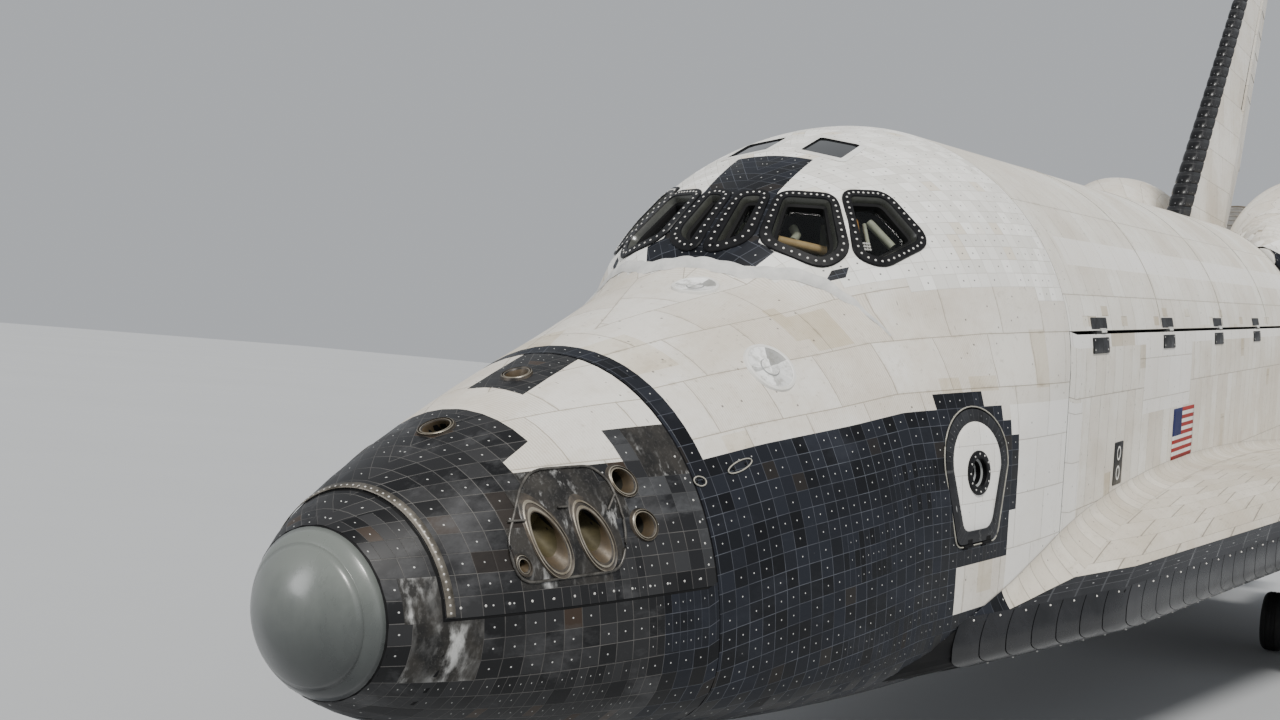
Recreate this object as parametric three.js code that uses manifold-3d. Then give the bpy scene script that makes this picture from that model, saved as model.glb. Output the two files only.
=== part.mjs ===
// A winged space shuttle orbiter standing on its landing gear, in millimetres.
// Vehicle axes: X to port, Y aft from the nose tip, Z up from the belly. The whole vehicle is then
// turned nose down and set on the ground, as it parks, with the origin under the middle of its box.
import * as THREE from "three";
import { mergeVertices } from "three/addons/utils/BufferGeometryUtils.js";
import Module from "manifold-3d";

const wasm = await Module();
wasm.setup();

// Driving dimensions.
const GAP = 0.5; // between two pieces that touch
const SEAT = 0.4; // between a hinged piece and its pin or lug
const LENGTH = 37236; // nose tip to the fin's trailing tip
const PARK_TILT = THREE.MathUtils.degToRad(4); // nose down on its gear
const NOSE_Z = 1500; // height of the nose tip
const BAY_RADIUS = 2667; // outer radius of the payload bay doors
const BAY_AXIS_Z = 3048;
const CANOPY_Y = 7798; // the windows are laid out about a point at this station
const CANOPY_REACH = 4000; // the cabin's roof rises over this length, ahead of the payload bay
const CANOPY_POWER = 1.5;
const NOSE_CAP_END = 310;
const BAY_FRONT = 8900; // joint of forward and mid fuselage
const BAY_BACK = 27140; // joint of mid and aft fuselage
const SILL_Z = 3480; // top of the mid fuselage, under the doors
const CABIN_WALL = 250;
const BELLY_MID = 12000;

// Fuselage sections: y, half width, bottom, height of the widest point, top, upper and lower roundness.
const SECTIONS = [
  { y: 0, w: 60, bottom: 1440, wide: NOSE_Z, top: 1560, nu: 2, nl: 2 },
  { y: 60, w: 296, bottom: 1208, wide: NOSE_Z, top: 1792, nu: 2, nl: 2 },
  { y: 200, w: 514, bottom: 1000, wide: 1490, top: 2000, nu: 2, nl: 2 },
  { y: 430, w: 700, bottom: 836, wide: 1470, top: 2180, nu: 2, nl: 2 },
  { y: 700, w: 855, bottom: 700, wide: 1440, top: 2335, nu: 2, nl: 2.1 },
  { y: 1575, w: 1245, bottom: 420, wide: 1270, top: 2720, nu: 2, nl: 2.3 },
  { y: 2845, w: 1651, bottom: 203, wide: 1067, top: 3170, nu: 2.05, nl: 2.6 },
  { y: 4115, w: 1981, bottom: 76, wide: 965, top: 3560, nu: 2.1, nl: 3 },
  { y: 5385, w: 2261, bottom: 20, wide: 1060, top: 3960, nu: 2.2, nl: 3.6 },
  { y: 6655, w: 2464, bottom: 0, wide: 1500, top: 4370, nu: 2.5, nl: 4.8 },
  { y: 7798, w: 2610, bottom: 0, wide: 2300, top: 4900, nu: 2.3, nl: 6 },
  { y: BAY_FRONT, w: BAY_RADIUS, bottom: 0, wide: BAY_AXIS_Z, top: 5600, nu: 2, nl: 7 },
  { y: BAY_BACK, w: BAY_RADIUS, bottom: 0, wide: BAY_AXIS_Z, top: 5600, nu: 2, nl: 7 },
  { y: 29300, w: 2740, bottom: 30, wide: BAY_AXIS_Z, top: 5560, nu: 2.2, nl: 7 },
  { y: 32620, w: 2850, bottom: 90, wide: BAY_AXIS_Z, top: 5400, nu: 2.4, nl: 7 },
];

// Wing planform and section.
const WING_BREAK = { x: 5055, y: 20218 }; // where the strake meets the outer wing
const STRAKE_SLOPE = 1 / Math.tan(THREE.MathUtils.degToRad(9)); // 81 degrees of sweep
const STRAKE_BEND = { x: 3300, slope: 3.24 }; // the strake curls into the body ahead of this
const WING_TIP_X = 11896;
const ELEVON_HINGE_Y = 29185;
const TRAIL_ROOT = { x: 2972, y: 32156, slope: 0.1773 };
const WING_ROOT_X = 2667;
const ELEVON_COVE = 25;

const SHADES = {
  blanket: [0xd8d4c8, 0.9, 0],
  tile: [0x1b1c1f, 0.7, 0],
  carbon: [0x6f7473, 0.45, 0],
  metal: [0x8c8f92, 0.4, 0.8],
  nozzle: [0x5c5148, 0.5, 0.7],
  glass: [0x1a2326, 0.1, 0],
  rubber: [0x161616, 0.9, 0],
  radiator: [0xc9ccd0, 0.2, 0.6],
  cabin: [0x75786f, 0.8, 0],
};

const shuttle = new THREE.Group();
const deg = THREE.MathUtils.degToRad;

// A closed geometry as a solid, turned the right way out.
function solid(geometry) {
  const bare = geometry.clone();
  bare.deleteAttribute("normal");
  bare.deleteAttribute("uv");
  const merged = mergeVertices(bare, 1e-3);
  const build = (triVerts) =>
    new wasm.Manifold(
      new wasm.Mesh({ numProp: 3, vertProperties: merged.attributes.position.array, triVerts }),
    );
  const made = build(new Uint32Array(merged.index.array));
  return made.volume() < 0 ? build(new Uint32Array(merged.index.array).reverse()) : made;
}

function addNode(name, body, shade) {
  const mesh = body.getMesh();
  const geometry = new THREE.BufferGeometry();
  geometry.setAttribute("position", new THREE.BufferAttribute(mesh.vertProperties, 3));
  geometry.setIndex(new THREE.BufferAttribute(mesh.triVerts, 1));
  geometry.computeVertexNormals();
  const [color, roughness, metalness] = SHADES[shade];
  const node = new THREE.Mesh(geometry, new THREE.MeshStandardMaterial({ color, roughness, metalness }));
  node.name = name;
  shuttle.add(node);
}

// A closed skin over rings of equally many points, with flat ends. Each four-sided facet is split
// along its shorter diagonal, so that left and right come out as mirror images.
function loft(rings) {
  const count = rings[0].length;
  const points = rings.flat();
  const far = (a, b) => Math.hypot(...points[a].map((c, i) => c - points[b][i]));
  const faces = [];
  for (let r = 0; r + 1 < rings.length; r++)
    for (let k = 0; k < count; k++) {
      const [a, b] = [r * count + k, r * count + ((k + 1) % count)];
      const [c, d] = [a + count, b + count];
      faces.push(...(far(b, c) < far(a, d) ? [a, b, c, b, d, c] : [a, b, d, a, d, c]));
    }
  for (const [r, flip] of [[0, true], [rings.length - 1, false]]) {
    const middle = points.length;
    points.push([0, 1, 2].map((i) => rings[r].reduce((sum, p) => sum + p[i], 0) / count));
    for (let k = 0; k < count; k++) {
      const [a, b] = [r * count + k, r * count + ((k + 1) % count)];
      faces.push(...(flip ? [b, a, middle] : [a, b, middle]));
    }
  }
  const geometry = new THREE.BufferGeometry();
  geometry.setAttribute("position", new THREE.Float32BufferAttribute(points.flat(), 3));
  geometry.setIndex(faces);
  return solid(geometry);
}

function box(x0, x1, y0, y1, z0, z1) {
  const geometry = new THREE.BoxGeometry(x1 - x0, y1 - y0, z1 - z0);
  return solid(geometry.translate((x0 + x1) / 2, (y0 + y1) / 2, (z0 + z1) / 2));
}

// A rod or cone from point a to point b.
function rod(a, b, ra, rb = ra, sides = 12) {
  const [start, end] = [new THREE.Vector3(...a), new THREE.Vector3(...b)];
  const along = end.clone().sub(start);
  const geometry = new THREE.CylinderGeometry(rb, ra, along.length(), sides);
  const turn = new THREE.Quaternion().setFromUnitVectors(new THREE.Vector3(0, 1, 0), along.normalize());
  geometry.applyQuaternion(turn);
  geometry.translate(...start.add(end).multiplyScalar(0.5).toArray());
  return solid(geometry);
}

// An outline in the (u, v) plane, pushed out along the third axis from d0 to d1.
function prism(outline, axis, d0, d1) {
  const place = { x: (u, v, d) => [d, u, v], y: (u, v, d) => [u, d, v], z: (u, v, d) => [u, v, d] }[axis];
  const shape = new THREE.Shape(outline.map(([u, v]) => new THREE.Vector2(u, v)));
  const geometry = new THREE.ExtrudeGeometry(shape, { depth: d1 - d0, bevelEnabled: false });
  const position = geometry.attributes.position;
  for (let i = 0; i < position.count; i++)
    position.setXYZ(i, ...place(position.getX(i), position.getY(i), position.getZ(i) + d0));
  return solid(geometry);
}

// A profile of (radius, distance) points turned about an axis that starts at origin along direction.
function turned(profile, origin, direction, sides) {
  const geometry = new THREE.LatheGeometry(profile.map(([r, d]) => new THREE.Vector2(r, d)), sides);
  const to = new THREE.Vector3(...direction).normalize();
  geometry.applyQuaternion(new THREE.Quaternion().setFromUnitVectors(new THREE.Vector3(0, 1, 0), to));
  return solid(geometry.translate(...origin));
}

const mirrored = (body) => body.mirror([1, 0, 0]);
const lerp = THREE.MathUtils.lerp;
const clamp = THREE.MathUtils.clamp;

// Fuselage

function sectionAt(y) {
  const i = clamp(SECTIONS.findIndex((s) => s.y > y), 1, SECTIONS.length - 1);
  const [a, b] = y >= SECTIONS.at(-1).y ? SECTIONS.slice(-2) : [SECTIONS[i - 1], SECTIONS[i]];
  const t = clamp((y - a.y) / (b.y - a.y), 0, 1);
  return Object.fromEntries(Object.keys(a).map((key) => [key, lerp(a[key], b[key], t)]));
}

// Distance from the section's middle to its skin, in the direction of angle, taken in by inset.
function bodyRadius(y, angle, inset) {
  const s = sectionAt(y);
  const [c, v] = [Math.cos(angle), Math.sin(angle)];
  const n = v > 0 ? s.nu : s.nl;
  const tall = (v > 0 ? s.top - s.wide : s.wide - s.bottom) - inset;
  const body = (Math.abs(c / (s.w - inset)) ** n + Math.abs(v / tall) ** n) ** (-1 / n);
  const ahead = Math.max(0, BAY_FRONT - y) / CANOPY_REACH;
  const round = BAY_RADIUS * Math.max(0, 1 - ahead ** CANOPY_POWER) ** 0.5 - inset;
  const rise = BAY_AXIS_Z - s.wide;
  const inside = round > 0 ? (v * rise) ** 2 - rise ** 2 + round ** 2 : -1;
  const behindDoors = clamp((y - BAY_BACK) / 2000, 0, 1);
  const canopy = inside > 0 ? v * rise + Math.sqrt(inside) : 0;
  return Math.max(body, canopy * (1 - 0.04 * behindDoors));
}

function bodyRing(y, sides, inset = 0, slant = 0) {
  const { wide } = sectionAt(y);
  return Array.from({ length: sides }, (_, k) => {
    const angle = ((k + 0.5) / sides) * 2 * Math.PI;
    const r = bodyRadius(y, angle, inset);
    const z = wide + r * Math.sin(angle);
    return [r * Math.cos(angle), y - slant * z, z];
  });
}

const bodyLoft = (stations, sides, inset = 0) => loft(stations.map((y) => bodyRing(y, sides, inset)));

const NOSE_SIDES = 36;
const FORWARD_STATIONS = [
  NOSE_CAP_END, 700, 1300, 2000, 2845, 4115, 5130, 5250, 5420, 5700, 6150, 6700, 7798, 8350, BAY_FRONT,
];
const noseCap = bodyLoft([0, 30, 60, 130, 200, NOSE_CAP_END - GAP], NOSE_SIDES);
addNode("nose_cap", noseCap, "carbon");

const MODULE = { front: 640, back: 2960, floor: 1530 }; // the forward thruster module
const moduleRoom = (gap) =>
  box(-2500, 2500, MODULE.front - gap, MODULE.back + gap, MODULE.floor - gap, 4200);

// Thruster mouths on the port side: y, z, radius, and the way that each points out.
const SIDE_THRUSTERS = [
  { y: 1500, z: 1980, r: 120, out: [0.8, 0, -0.5] },
  { y: 1880, z: 1990, r: 120, out: [0.8, 0, -0.5] },
  { y: 2300, z: 2350, r: 95, out: [1, 0, 0.1] },
  { y: 2340, z: 2040, r: 95, out: [1, 0, 0.1] },
  { y: 1240, z: 1850, r: 40, out: [0.9, -0.1, -0.3] },
];
const TOP_THRUSTERS = [
  { x: 0, y: 1500, z: 2690, r: 110, out: [0, -0.7, 0.7] },
  { x: 0, y: 2480, z: 3050, r: 100, out: [0, 0, 1] },
];
const MOUTH_DEPTH = 260;
const mouth = (at, out, r) => {
  const way = new THREE.Vector3(...out).normalize();
  const end = (d) => way.clone().multiplyScalar(d).add(new THREE.Vector3(...at)).toArray();
  return rod(end(-MOUTH_DEPTH), end(500), r * 0.75, r * 1.25, 10);
};
const skinX = (y, z) => {
  const { wide } = sectionAt(y);
  let angle = Math.asin(clamp((z - wide) / 2500, -1, 1));
  for (let i = 0; i < 12; i++)
    angle = Math.atan2(z - wide, bodyRadius(y, angle, 0) * Math.cos(angle));
  return bodyRadius(y, angle, 0) * Math.cos(angle);
};

const forwardBody = bodyLoft(FORWARD_STATIONS, NOSE_SIDES);
let module = forwardBody.intersect(moduleRoom(-GAP / 2));
for (const t of SIDE_THRUSTERS) {
  const cut = mouth([skinX(t.y, t.z), t.y, t.z], t.out, t.r);
  module = module.subtract(cut).subtract(mirrored(cut));
}
for (const t of TOP_THRUSTERS) module = module.subtract(mouth([t.x, t.y, t.z], t.out, t.r));
addNode("forward_thruster_module", module, "tile");

// Windows as directions from the canopy's centre: azimuth from the nose to port, and elevation.
const CANOPY = [0, CANOPY_Y, BAY_AXIS_Z];
const WINDSHIELD = [
  [[1, 23.3], [11.3, 28], [11.8, 46], [1.2, 45]],
  [[13.2, 27.9], [29, 23.2], [35.6, 28.3], [33.8, 47], [14.4, 46]],
  [[37.6, 27.6], [44.8, 25.8], [63.2, 34.1], [54.6, 50], [36.6, 49.2]],
];
const OVERHEAD = { x0: 160, x1: 700, y0: 7050, y1: 7620 };
function canopyDirection([azimuth, elevation]) {
  const [a, e] = [deg(azimuth), deg(elevation)];
  return [Math.sin(a) * Math.cos(e), -Math.cos(a) * Math.cos(e), Math.sin(e)];
}
const canopyPoint = (corner, far) => canopyDirection(corner).map((d, i) => CANOPY[i] + d * far);
const windowCut = (corners) => loft([1600, 3400].map((far) => corners.map((c) => canopyPoint(c, far))));
const windows = WINDSHIELD.map(windowCut);
const overhead = box(OVERHEAD.x0, OVERHEAD.x1, OVERHEAD.y0, OVERHEAD.y1, 4500, 6000);

const CABIN_STATIONS = [5080, 5300, 5600, 6100, 6700, 7798, 8340];
const cabinRoom = (inset) => bodyLoft(CABIN_STATIONS, 28, inset);
const cabin = cabinRoom(CABIN_WALL);

const HATCH = { y: 6680, top: 2220, radius: 560, bottom: 1500, foot: 400, thick: 110, gap: 8 };
const HATCH_WINDOW = { z: 2170, r: 150 };
const hatchOutline = (grow) => {
  const arc = Array.from({ length: 11 }, (_, i) => {
    const a = (i / 10) * Math.PI;
    const r = HATCH.radius + grow;
    return [HATCH.y + r * Math.cos(a), HATCH.top + r * Math.sin(a)];
  });
  const foot = HATCH.foot + grow;
  return [...arc, [HATCH.y - foot, HATCH.bottom - grow], [HATCH.y + foot, HATCH.bottom - grow]];
};
// The hatch's hinge runs along its foot, just outside the skin, and its edges stand square to it.
const HATCH_HINGE = { out: 21, z: HATCH.bottom - 14, r: 14, half: 190 };
const hatchFoot = [HATCH.y - HATCH.foot, HATCH.y + HATCH.foot].map((y) => skinX(y, HATCH.bottom));
const hatchTurn = THREE.MathUtils.radToDeg(Math.atan2(hatchFoot[1] - hatchFoot[0], 2 * HATCH.foot));
const hatchX = (hatchFoot[0] + hatchFoot[1]) / 2 + HATCH_HINGE.out;
const alongHatch = (body) => body.rotate([0, 0, -hatchTurn]).translate([hatchX, HATCH.y, 0]);
const hatchPrism = (grow) => {
  const outline = hatchOutline(grow).map(([y, z]) => [y - HATCH.y, z]);
  return alongHatch(prism(outline, "x", -900, 500));
};
const hatchHole = hatchPrism(HATCH.gap);
const knuckle = (from, to) => rod([0, from, HATCH_HINGE.z], [0, to, HATCH_HINGE.z], HATCH_HINGE.r);
const hatchKnuckle = (from, to, low, high) =>
  alongHatch(knuckle(from, to).add(box(-60, 0, from, to, HATCH_HINGE.z + low, HATCH_HINGE.z + high)));
const hatchGlassRod = (r) => rod([1800, HATCH.y, HATCH_WINDOW.z], [3000, HATCH.y, HATCH_WINDOW.z], r);

const NOSE_GEAR = { y: 3531, z: -921, r: 406 };
const NOSE_WELL = { x: 430, y0: 2150, y1: 4700, top: 900 };
const noseWell = box(-NOSE_WELL.x, NOSE_WELL.x, NOSE_WELL.y0, NOSE_WELL.y1, -200, NOSE_WELL.top);

// A flat pad on the belly where the vehicle is bolted to its tank.
const PADS = [
  { name: "front", x: 0, y: 5050, half: 150, z0: -35, z1: 300 },
  { name: "rear", x: 2240, y: 27660, half: 250, z0: -35, z1: 300 },
];
const pad = (p, side = 1, grow = 0) => {
  const half = p.half + grow;
  return box(side * p.x - half, side * p.x + half, p.y - half, p.y + half, p.z0 - grow, p.z1 + grow);
};

let forward = forwardBody
  .subtract(moduleRoom(GAP / 2))
  .subtract(cabin)
  .subtract(hatchHole)
  .subtract(noseWell);
for (const cut of windows) forward = forward.subtract(cut).subtract(mirrored(cut));
forward = forward.subtract(overhead).subtract(mirrored(overhead)).add(pad(PADS[0]));
for (const at of [-HATCH_HINGE.half, HATCH_HINGE.half])
  forward = forward.add(hatchKnuckle(at - 90, at, -30, 0));
addNode("forward_fuselage", forward, "blanket");

// Glass lies against the inside of the wall.
const glassShell = cabinRoom(CABIN_WALL + GAP).subtract(cabinRoom(CABIN_WALL + 30));
const windshieldGlass = glassShell.intersect(box(20, 2600, 5100, 7005, 3600, 5000));
addNode("windshield_panes_left", windshieldGlass, "glass");
addNode("windshield_panes_right", mirrored(windshieldGlass), "glass");
const overheadRoom = box(-800, 800, 7010, 7700, 4600, 6000);
addNode("overhead_panes", glassShell.intersect(overheadRoom), "glass");

let hatch = forwardBody
  .subtract(bodyLoft(FORWARD_STATIONS, NOSE_SIDES, HATCH.thick))
  .intersect(hatchPrism(0));
for (const at of [-HATCH_HINGE.half, HATCH_HINGE.half])
  hatch = hatch.add(hatchKnuckle(at + SEAT, at + 90, 9, 60));
addNode("crew_hatch", hatch.subtract(hatchGlassRod(HATCH_WINDOW.r)), "tile");
const hatchGlass = bodyLoft(FORWARD_STATIONS, NOSE_SIDES, 40)
  .subtract(bodyLoft(FORWARD_STATIONS, NOSE_SIDES, 70))
  .intersect(hatchGlassRod(HATCH_WINDOW.r - GAP));
addNode("hatch_window", hatchGlass, "glass");

// Flight deck
const DECK = { bottom: 3240, top: 3330 };
const deckRoom = cabinRoom(CABIN_WALL + 2 * GAP);
const deckSlab = box(-3000, 3000, 5600, 8330, DECK.bottom, DECK.top);
addNode("flight_deck_floor", deckRoom.intersect(deckSlab), "cabin");
const panelFoot = DECK.top + GAP;
const panelOutline = [[6020, panelFoot], [6450, panelFoot], [6400, 3680], [6280, 3830], [6150, 3830]];
addNode("instrument_panel", deckRoom.intersect(prism(panelOutline, "x", -1150, 1150)), "cabin");
const CHAIR = { x: 620, y: 7000, half: 240 };
const seatOutline = [
  [0, 0], [480, 0], [640, 1150], [520, 1180], [420, 420], [-60, 380], [-60, 260], [40, 220],
].map(([y, z]) => [CHAIR.y - 200 + y, DECK.top + GAP + z]);
for (const [name, side] of [["commander_seat", 1], ["pilot_seat", -1]])
  addNode(name, prism(seatOutline, "x", side * CHAIR.x - CHAIR.half, side * CHAIR.x + CHAIR.half), "cabin");

// Mid fuselage with the open payload bay, and its doors
const BAY = { half: 2330, floor: BAY_AXIS_Z - 2330, front: BAY_FRONT + 160, back: BAY_BACK - 160 };
const arc = (r, from, to, steps, cz = BAY_AXIS_Z) =>
  Array.from({ length: steps + 1 }, (_, i) => {
    const a = deg(lerp(from, to, i / steps));
    return [r * Math.cos(a), cz + r * Math.sin(a)];
  });
const midBody = bodyLoft([BAY_FRONT + GAP, BAY_BACK - GAP], 44);
const bayOutline = [...arc(BAY.half, 180, 360, 14), [BAY.half, 6000], [-BAY.half, 6000]];
const bayCut = prism(bayOutline, "y", BAY.front, BAY.back);
const keelPad = box(-300, 300, 17000, 17600, BAY.floor - 100, BAY.floor + 60);
let mid = midBody.intersect(box(-3000, 3000, 8000, 28000, -100, SILL_Z)).subtract(bayCut).add(keelPad);

const DOOR = { thick: 120, from: 10.2, hingeX: 2645, hingeZ: 3506, gap: 8 };
const doorCentre = 90 - THREE.MathUtils.radToDeg(DOOR.gap / BAY_RADIUS);
const DOOR_STEPS = 12;
// A shell of the door's curve over some of its steps.
const doorShell = (outer, inner, first, last, y0, y1) => {
  const [from, to] = [first, last].map((step) => lerp(DOOR.from, doorCentre, step / DOOR_STEPS));
  return prism([...arc(outer, from, to, last - first), ...arc(inner, to, from, last - first)], "y", y0, y1);
};
let door = doorShell(BAY_RADIUS, BAY_RADIUS - DOOR.thick, 0, DOOR_STEPS, BAY_FRONT + 12, BAY_BACK - 12);
const radiatorOuter = BAY_RADIUS - DOOR.thick - GAP;
const radiatorInner = radiatorOuter - 45;
const radiator = doorShell(
  radiatorOuter, radiatorInner, 1, DOOR_STEPS - 1, BAY.front + 60, BAY.back - 60,
);
// Each door hangs on knuckles: the body's half lies ahead of the door's half.
const DOOR_HINGE = { r: 14, long: 240, at: [10200, 13900, 17600, 21300, 25000] };
for (const at of DOOR_HINGE.at) {
  const [x, z, end] = [DOOR.hingeX, DOOR.hingeZ, at + DOOR_HINGE.long];
  const fixed = rod([x, at - DOOR_HINGE.long, z], [x, at, z], DOOR_HINGE.r)
    .add(box(x - 45, x, at - DOOR_HINGE.long, at, z - 70, z));
  mid = mid.add(fixed).add(mirrored(fixed));
  door = door
    .add(rod([x, at + SEAT, z], [x, end, z], DOOR_HINGE.r))
    .add(box(x - 45, x, at + SEAT, end, z, z + 40));
}
addNode("mid_fuselage", mid, "blanket");
for (const [side, turn] of [["left", (b) => b], ["right", mirrored]]) {
  addNode(`payload_door_${side}`, turn(door), "blanket");
  addNode(`radiator_${side}`, turn(radiator), "radiator");
}

// Wings

const leadingY = (x) => {
  if (x >= WING_BREAK.x) return WING_BREAK.y + (x - WING_BREAK.x);
  const bendY = WING_BREAK.y - (WING_BREAK.x - STRAKE_BEND.x) * STRAKE_SLOPE;
  if (x >= STRAKE_BEND.x) return WING_BREAK.y - (WING_BREAK.x - x) * STRAKE_SLOPE;
  return bendY - (STRAKE_BEND.x - x) * STRAKE_BEND.slope;
};
const trailingY = (x) => TRAIL_ROOT.y - (x - TRAIL_ROOT.x) * TRAIL_ROOT.slope;
const wingThickness = (x) => {
  const outer = clamp((x - WING_BREAK.x) / (WING_TIP_X - WING_BREAK.x), 0, 1);
  const inner = clamp((x - WING_ROOT_X) / (WING_BREAK.x - WING_ROOT_X), 0, 1);
  return lerp(lerp(1524, 1270, inner), 419, outer);
};
const wingMiddle = (x) => lerp(457, 686, clamp((x - WING_ROOT_X) / (WING_TIP_X - WING_ROOT_X), 0, 1));
// Share of the full thickness at a share c of the chord.
const fullness = (c) =>
  10 * (0.2969 * Math.sqrt(c) - 0.126 * c - 0.3516 * c ** 2 + 0.2843 * c ** 3 - 0.1036 * c ** 4);
const chordShare = (x, y) => clamp((y - leadingY(x)) / (trailingY(x) - leadingY(x)), 0, 1);
const UPPER_SHARE = 0.7;
const wingDepth = (x, y) => wingThickness(x) * fullness(chordShare(x, y));
const wingTop = (x, y) => wingMiddle(x) + UPPER_SHARE * wingDepth(x, y);
const wingBottom = (x, y) => wingMiddle(x) - (1 - UPPER_SHARE) * wingDepth(x, y);
const hingeHalf = (x) => (wingTop(x, ELEVON_HINGE_Y) - wingBottom(x, ELEVON_HINGE_Y)) / 2;
const hingeZ = (x) => (wingTop(x, ELEVON_HINGE_Y) + wingBottom(x, ELEVON_HINGE_Y)) / 2;

const WING_SHARES = [0.0025, 0.01, 0.035, 0.09, 0.18, 0.32, 0.5, 0.75, 1];
function wingRing(x) {
  const back = ELEVON_HINGE_Y - hingeHalf(x) - ELEVON_COVE;
  const at = (v) => lerp(leadingY(x), back, v);
  const upper = WING_SHARES.map((v) => [x, at(v), wingTop(x, at(v))]);
  const lower = WING_SHARES.map((v) => [x, at(v), wingBottom(x, at(v))]);
  return [[x, leadingY(x), wingMiddle(x)], ...upper, ...lower.reverse()];
}
const WING_STATIONS = [2080, 2700, 3300, 4100, 4700, 5055, 5800, 7925, 10000, 11500, WING_TIP_X];
const BASE_SLANT = 0.24; // the engine base leans forward as it rises
const aftShell = (inset) =>
  loft([
    bodyRing(BAY_BACK + GAP, 40, inset),
    bodyRing(29300, 40, inset),
    bodyRing(32620 - inset, 40, inset, BASE_SLANT),
  ]);
const aftRoom = aftShell(-4 * GAP);
const grownBody = (stations, sides) => bodyLoft(stations, sides, -4 * GAP);
const bodyRoom = grownBody([4000, 5385, 6655, 7798, BAY_FRONT, BAY_BACK, 29300, 32000], 44);
// The front of the strake is fitted to the body's own facets.
const noseRoom = grownBody(FORWARD_STATIONS, NOSE_SIDES);

const MAIN_GEAR = { x: 3454, y: 23724, z: -2174, r: 565 };
const MAIN_WELL = { x0: 2780, x1: 4420, y0: 20300, y1: 24450, top: 900 };
const mainWell = box(MAIN_WELL.x0, MAIN_WELL.x1, MAIN_WELL.y0, MAIN_WELL.y1, -300, MAIN_WELL.top);

const wingFull = loft(WING_STATIONS.map(wingRing))
  .subtract(bodyRoom)
  .subtract(noseRoom)
  .subtract(aftRoom)
  .subtract(pad(PADS[1], 1, 4 * GAP))
  .subtract(mainWell);

// The carbon leading edge follows the outer wing's front in a band of fixed depth.
const EDGE_DEPTH = 520;
const edgeOutline = (grow) => {
  const d = EDGE_DEPTH + grow;
  return [
    [4700, leadingY(4700) - 900],
    [WING_TIP_X + 400, leadingY(WING_TIP_X) - 900],
    [WING_TIP_X + 400, leadingY(WING_TIP_X) + d * 1.9],
    [WING_BREAK.x + 100, WING_BREAK.y + d * 1.55],
    [4700, leadingY(4700) + d * 5],
  ];
};
const edgeRoom = (grow) => prism(edgeOutline(grow), "z", -500, 2500);
const pieces = (body) => body.decompose().sort((a, b) => b.volume() - a.volume());
const wingEdge = pieces(wingFull.intersect(edgeRoom(-GAP)))[0];

// An elevon's section: a round nose about its hinge, and a wedge back to the trailing edge.
function elevonRing(x) {
  const r = hingeHalf(x) - 2;
  const nose = Array.from({ length: 7 }, (_, i) => {
    const a = deg(90 + i * 30);
    return [x, ELEVON_HINGE_Y + r * Math.cos(a), hingeZ(x) + r * Math.sin(a)];
  });
  const tail = wingMiddle(x);
  return [...nose, [x, trailingY(x), tail - 18], [x, trailingY(x), tail + 18]];
}
const ELEVONS = [
  { name: "inboard", x0: 3150, x1: 7910 },
  { name: "outboard", x0: 7940, x1: 11880 },
];
let wing = pieces(wingFull.subtract(edgeRoom(GAP)))[0];
const LUG = { inset: 300, half: 60 };
for (const e of ELEVONS)
  for (const x of [e.x0 + LUG.inset, (e.x0 + e.x1) / 2, e.x1 - LUG.inset]) {
    const radius = (at) => lerp(hingeHalf(e.x0), hingeHalf(e.x1), (at - e.x0) / (e.x1 - e.x0)) - 2;
    const nose = Math.max(radius(x - LUG.half), radius(x + LUG.half));
    const z = lerp(hingeZ(e.x0), hingeZ(e.x1), (x - e.x0) / (e.x1 - e.x0));
    const face = ELEVON_HINGE_Y - nose - SEAT;
    wing = wing.add(box(x - LUG.half, x + LUG.half, face - 250, face, z - LUG.half, z + LUG.half));
  }
for (const [side, turn] of [["left", (b) => b], ["right", mirrored]]) {
  addNode(`wing_${side}`, turn(wing), "blanket");
  addNode(`wing_leading_edge_${side}`, turn(wingEdge), "carbon");
  for (const e of ELEVONS)
    addNode(`elevon_${e.name}_${side}`, turn(loft([elevonRing(e.x0), elevonRing(e.x1)])), "tile");
}

// Aft fuselage, engines and body flap

const ENGINES = [
  { name: "upper", x: 0, y: 30658, z: 4140, pitch: 16, yaw: 0 },
  { name: "left", x: 1346, y: 31246, z: 1591, pitch: 10, yaw: 3.5 },
  { name: "right", x: -1346, y: 31246, z: 1591, pitch: 10, yaw: -3.5 },
];
const engineWay = (e) => {
  const [p, w] = [deg(e.pitch), deg(e.yaw)];
  return [Math.sin(w) * Math.cos(p), Math.cos(w) * Math.cos(p), Math.sin(p)];
};
const along = (e, d) => engineWay(e).map((c, i) => [e.x, e.y, e.z][i] + c * d);
const GIMBAL = { half: 150, front: 100, post: -185 };
const FLAP = { y: 32868, z: 235, r: 205, half: 3000, tail: 34925, lugs: [-2000, 0, 2000] };
const ENGINE_ROOM = { r: 860, depth: 330, lip: 1130, lipLength: 1330 };
let aft = aftShell(0);
const engineBarrel = (e, grow) => {
  const ends = [along(e, -200 - grow), along(e, ENGINE_ROOM.lipLength + grow)];
  return rod(...ends, 1150 + grow, ENGINE_ROOM.lip + grow, 20);
};
// The space that the upper engine sweeps through as it gimbals.
const upperSweep = rod(along(ENGINES[0], 1300), along(ENGINES[0], 4600), 1160, 2550, 24);
for (const e of ENGINES) aft = aft.add(engineBarrel(e, 0));
aft = aft.intersect(box(-3500, 3500, BAY_BACK, 33200, -200, 6200));
for (const e of ENGINES)
  aft = aft.subtract(rod(along(e, -ENGINE_ROOM.depth), along(e, 2600), ENGINE_ROOM.r, ENGINE_ROOM.r, 20));
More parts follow.
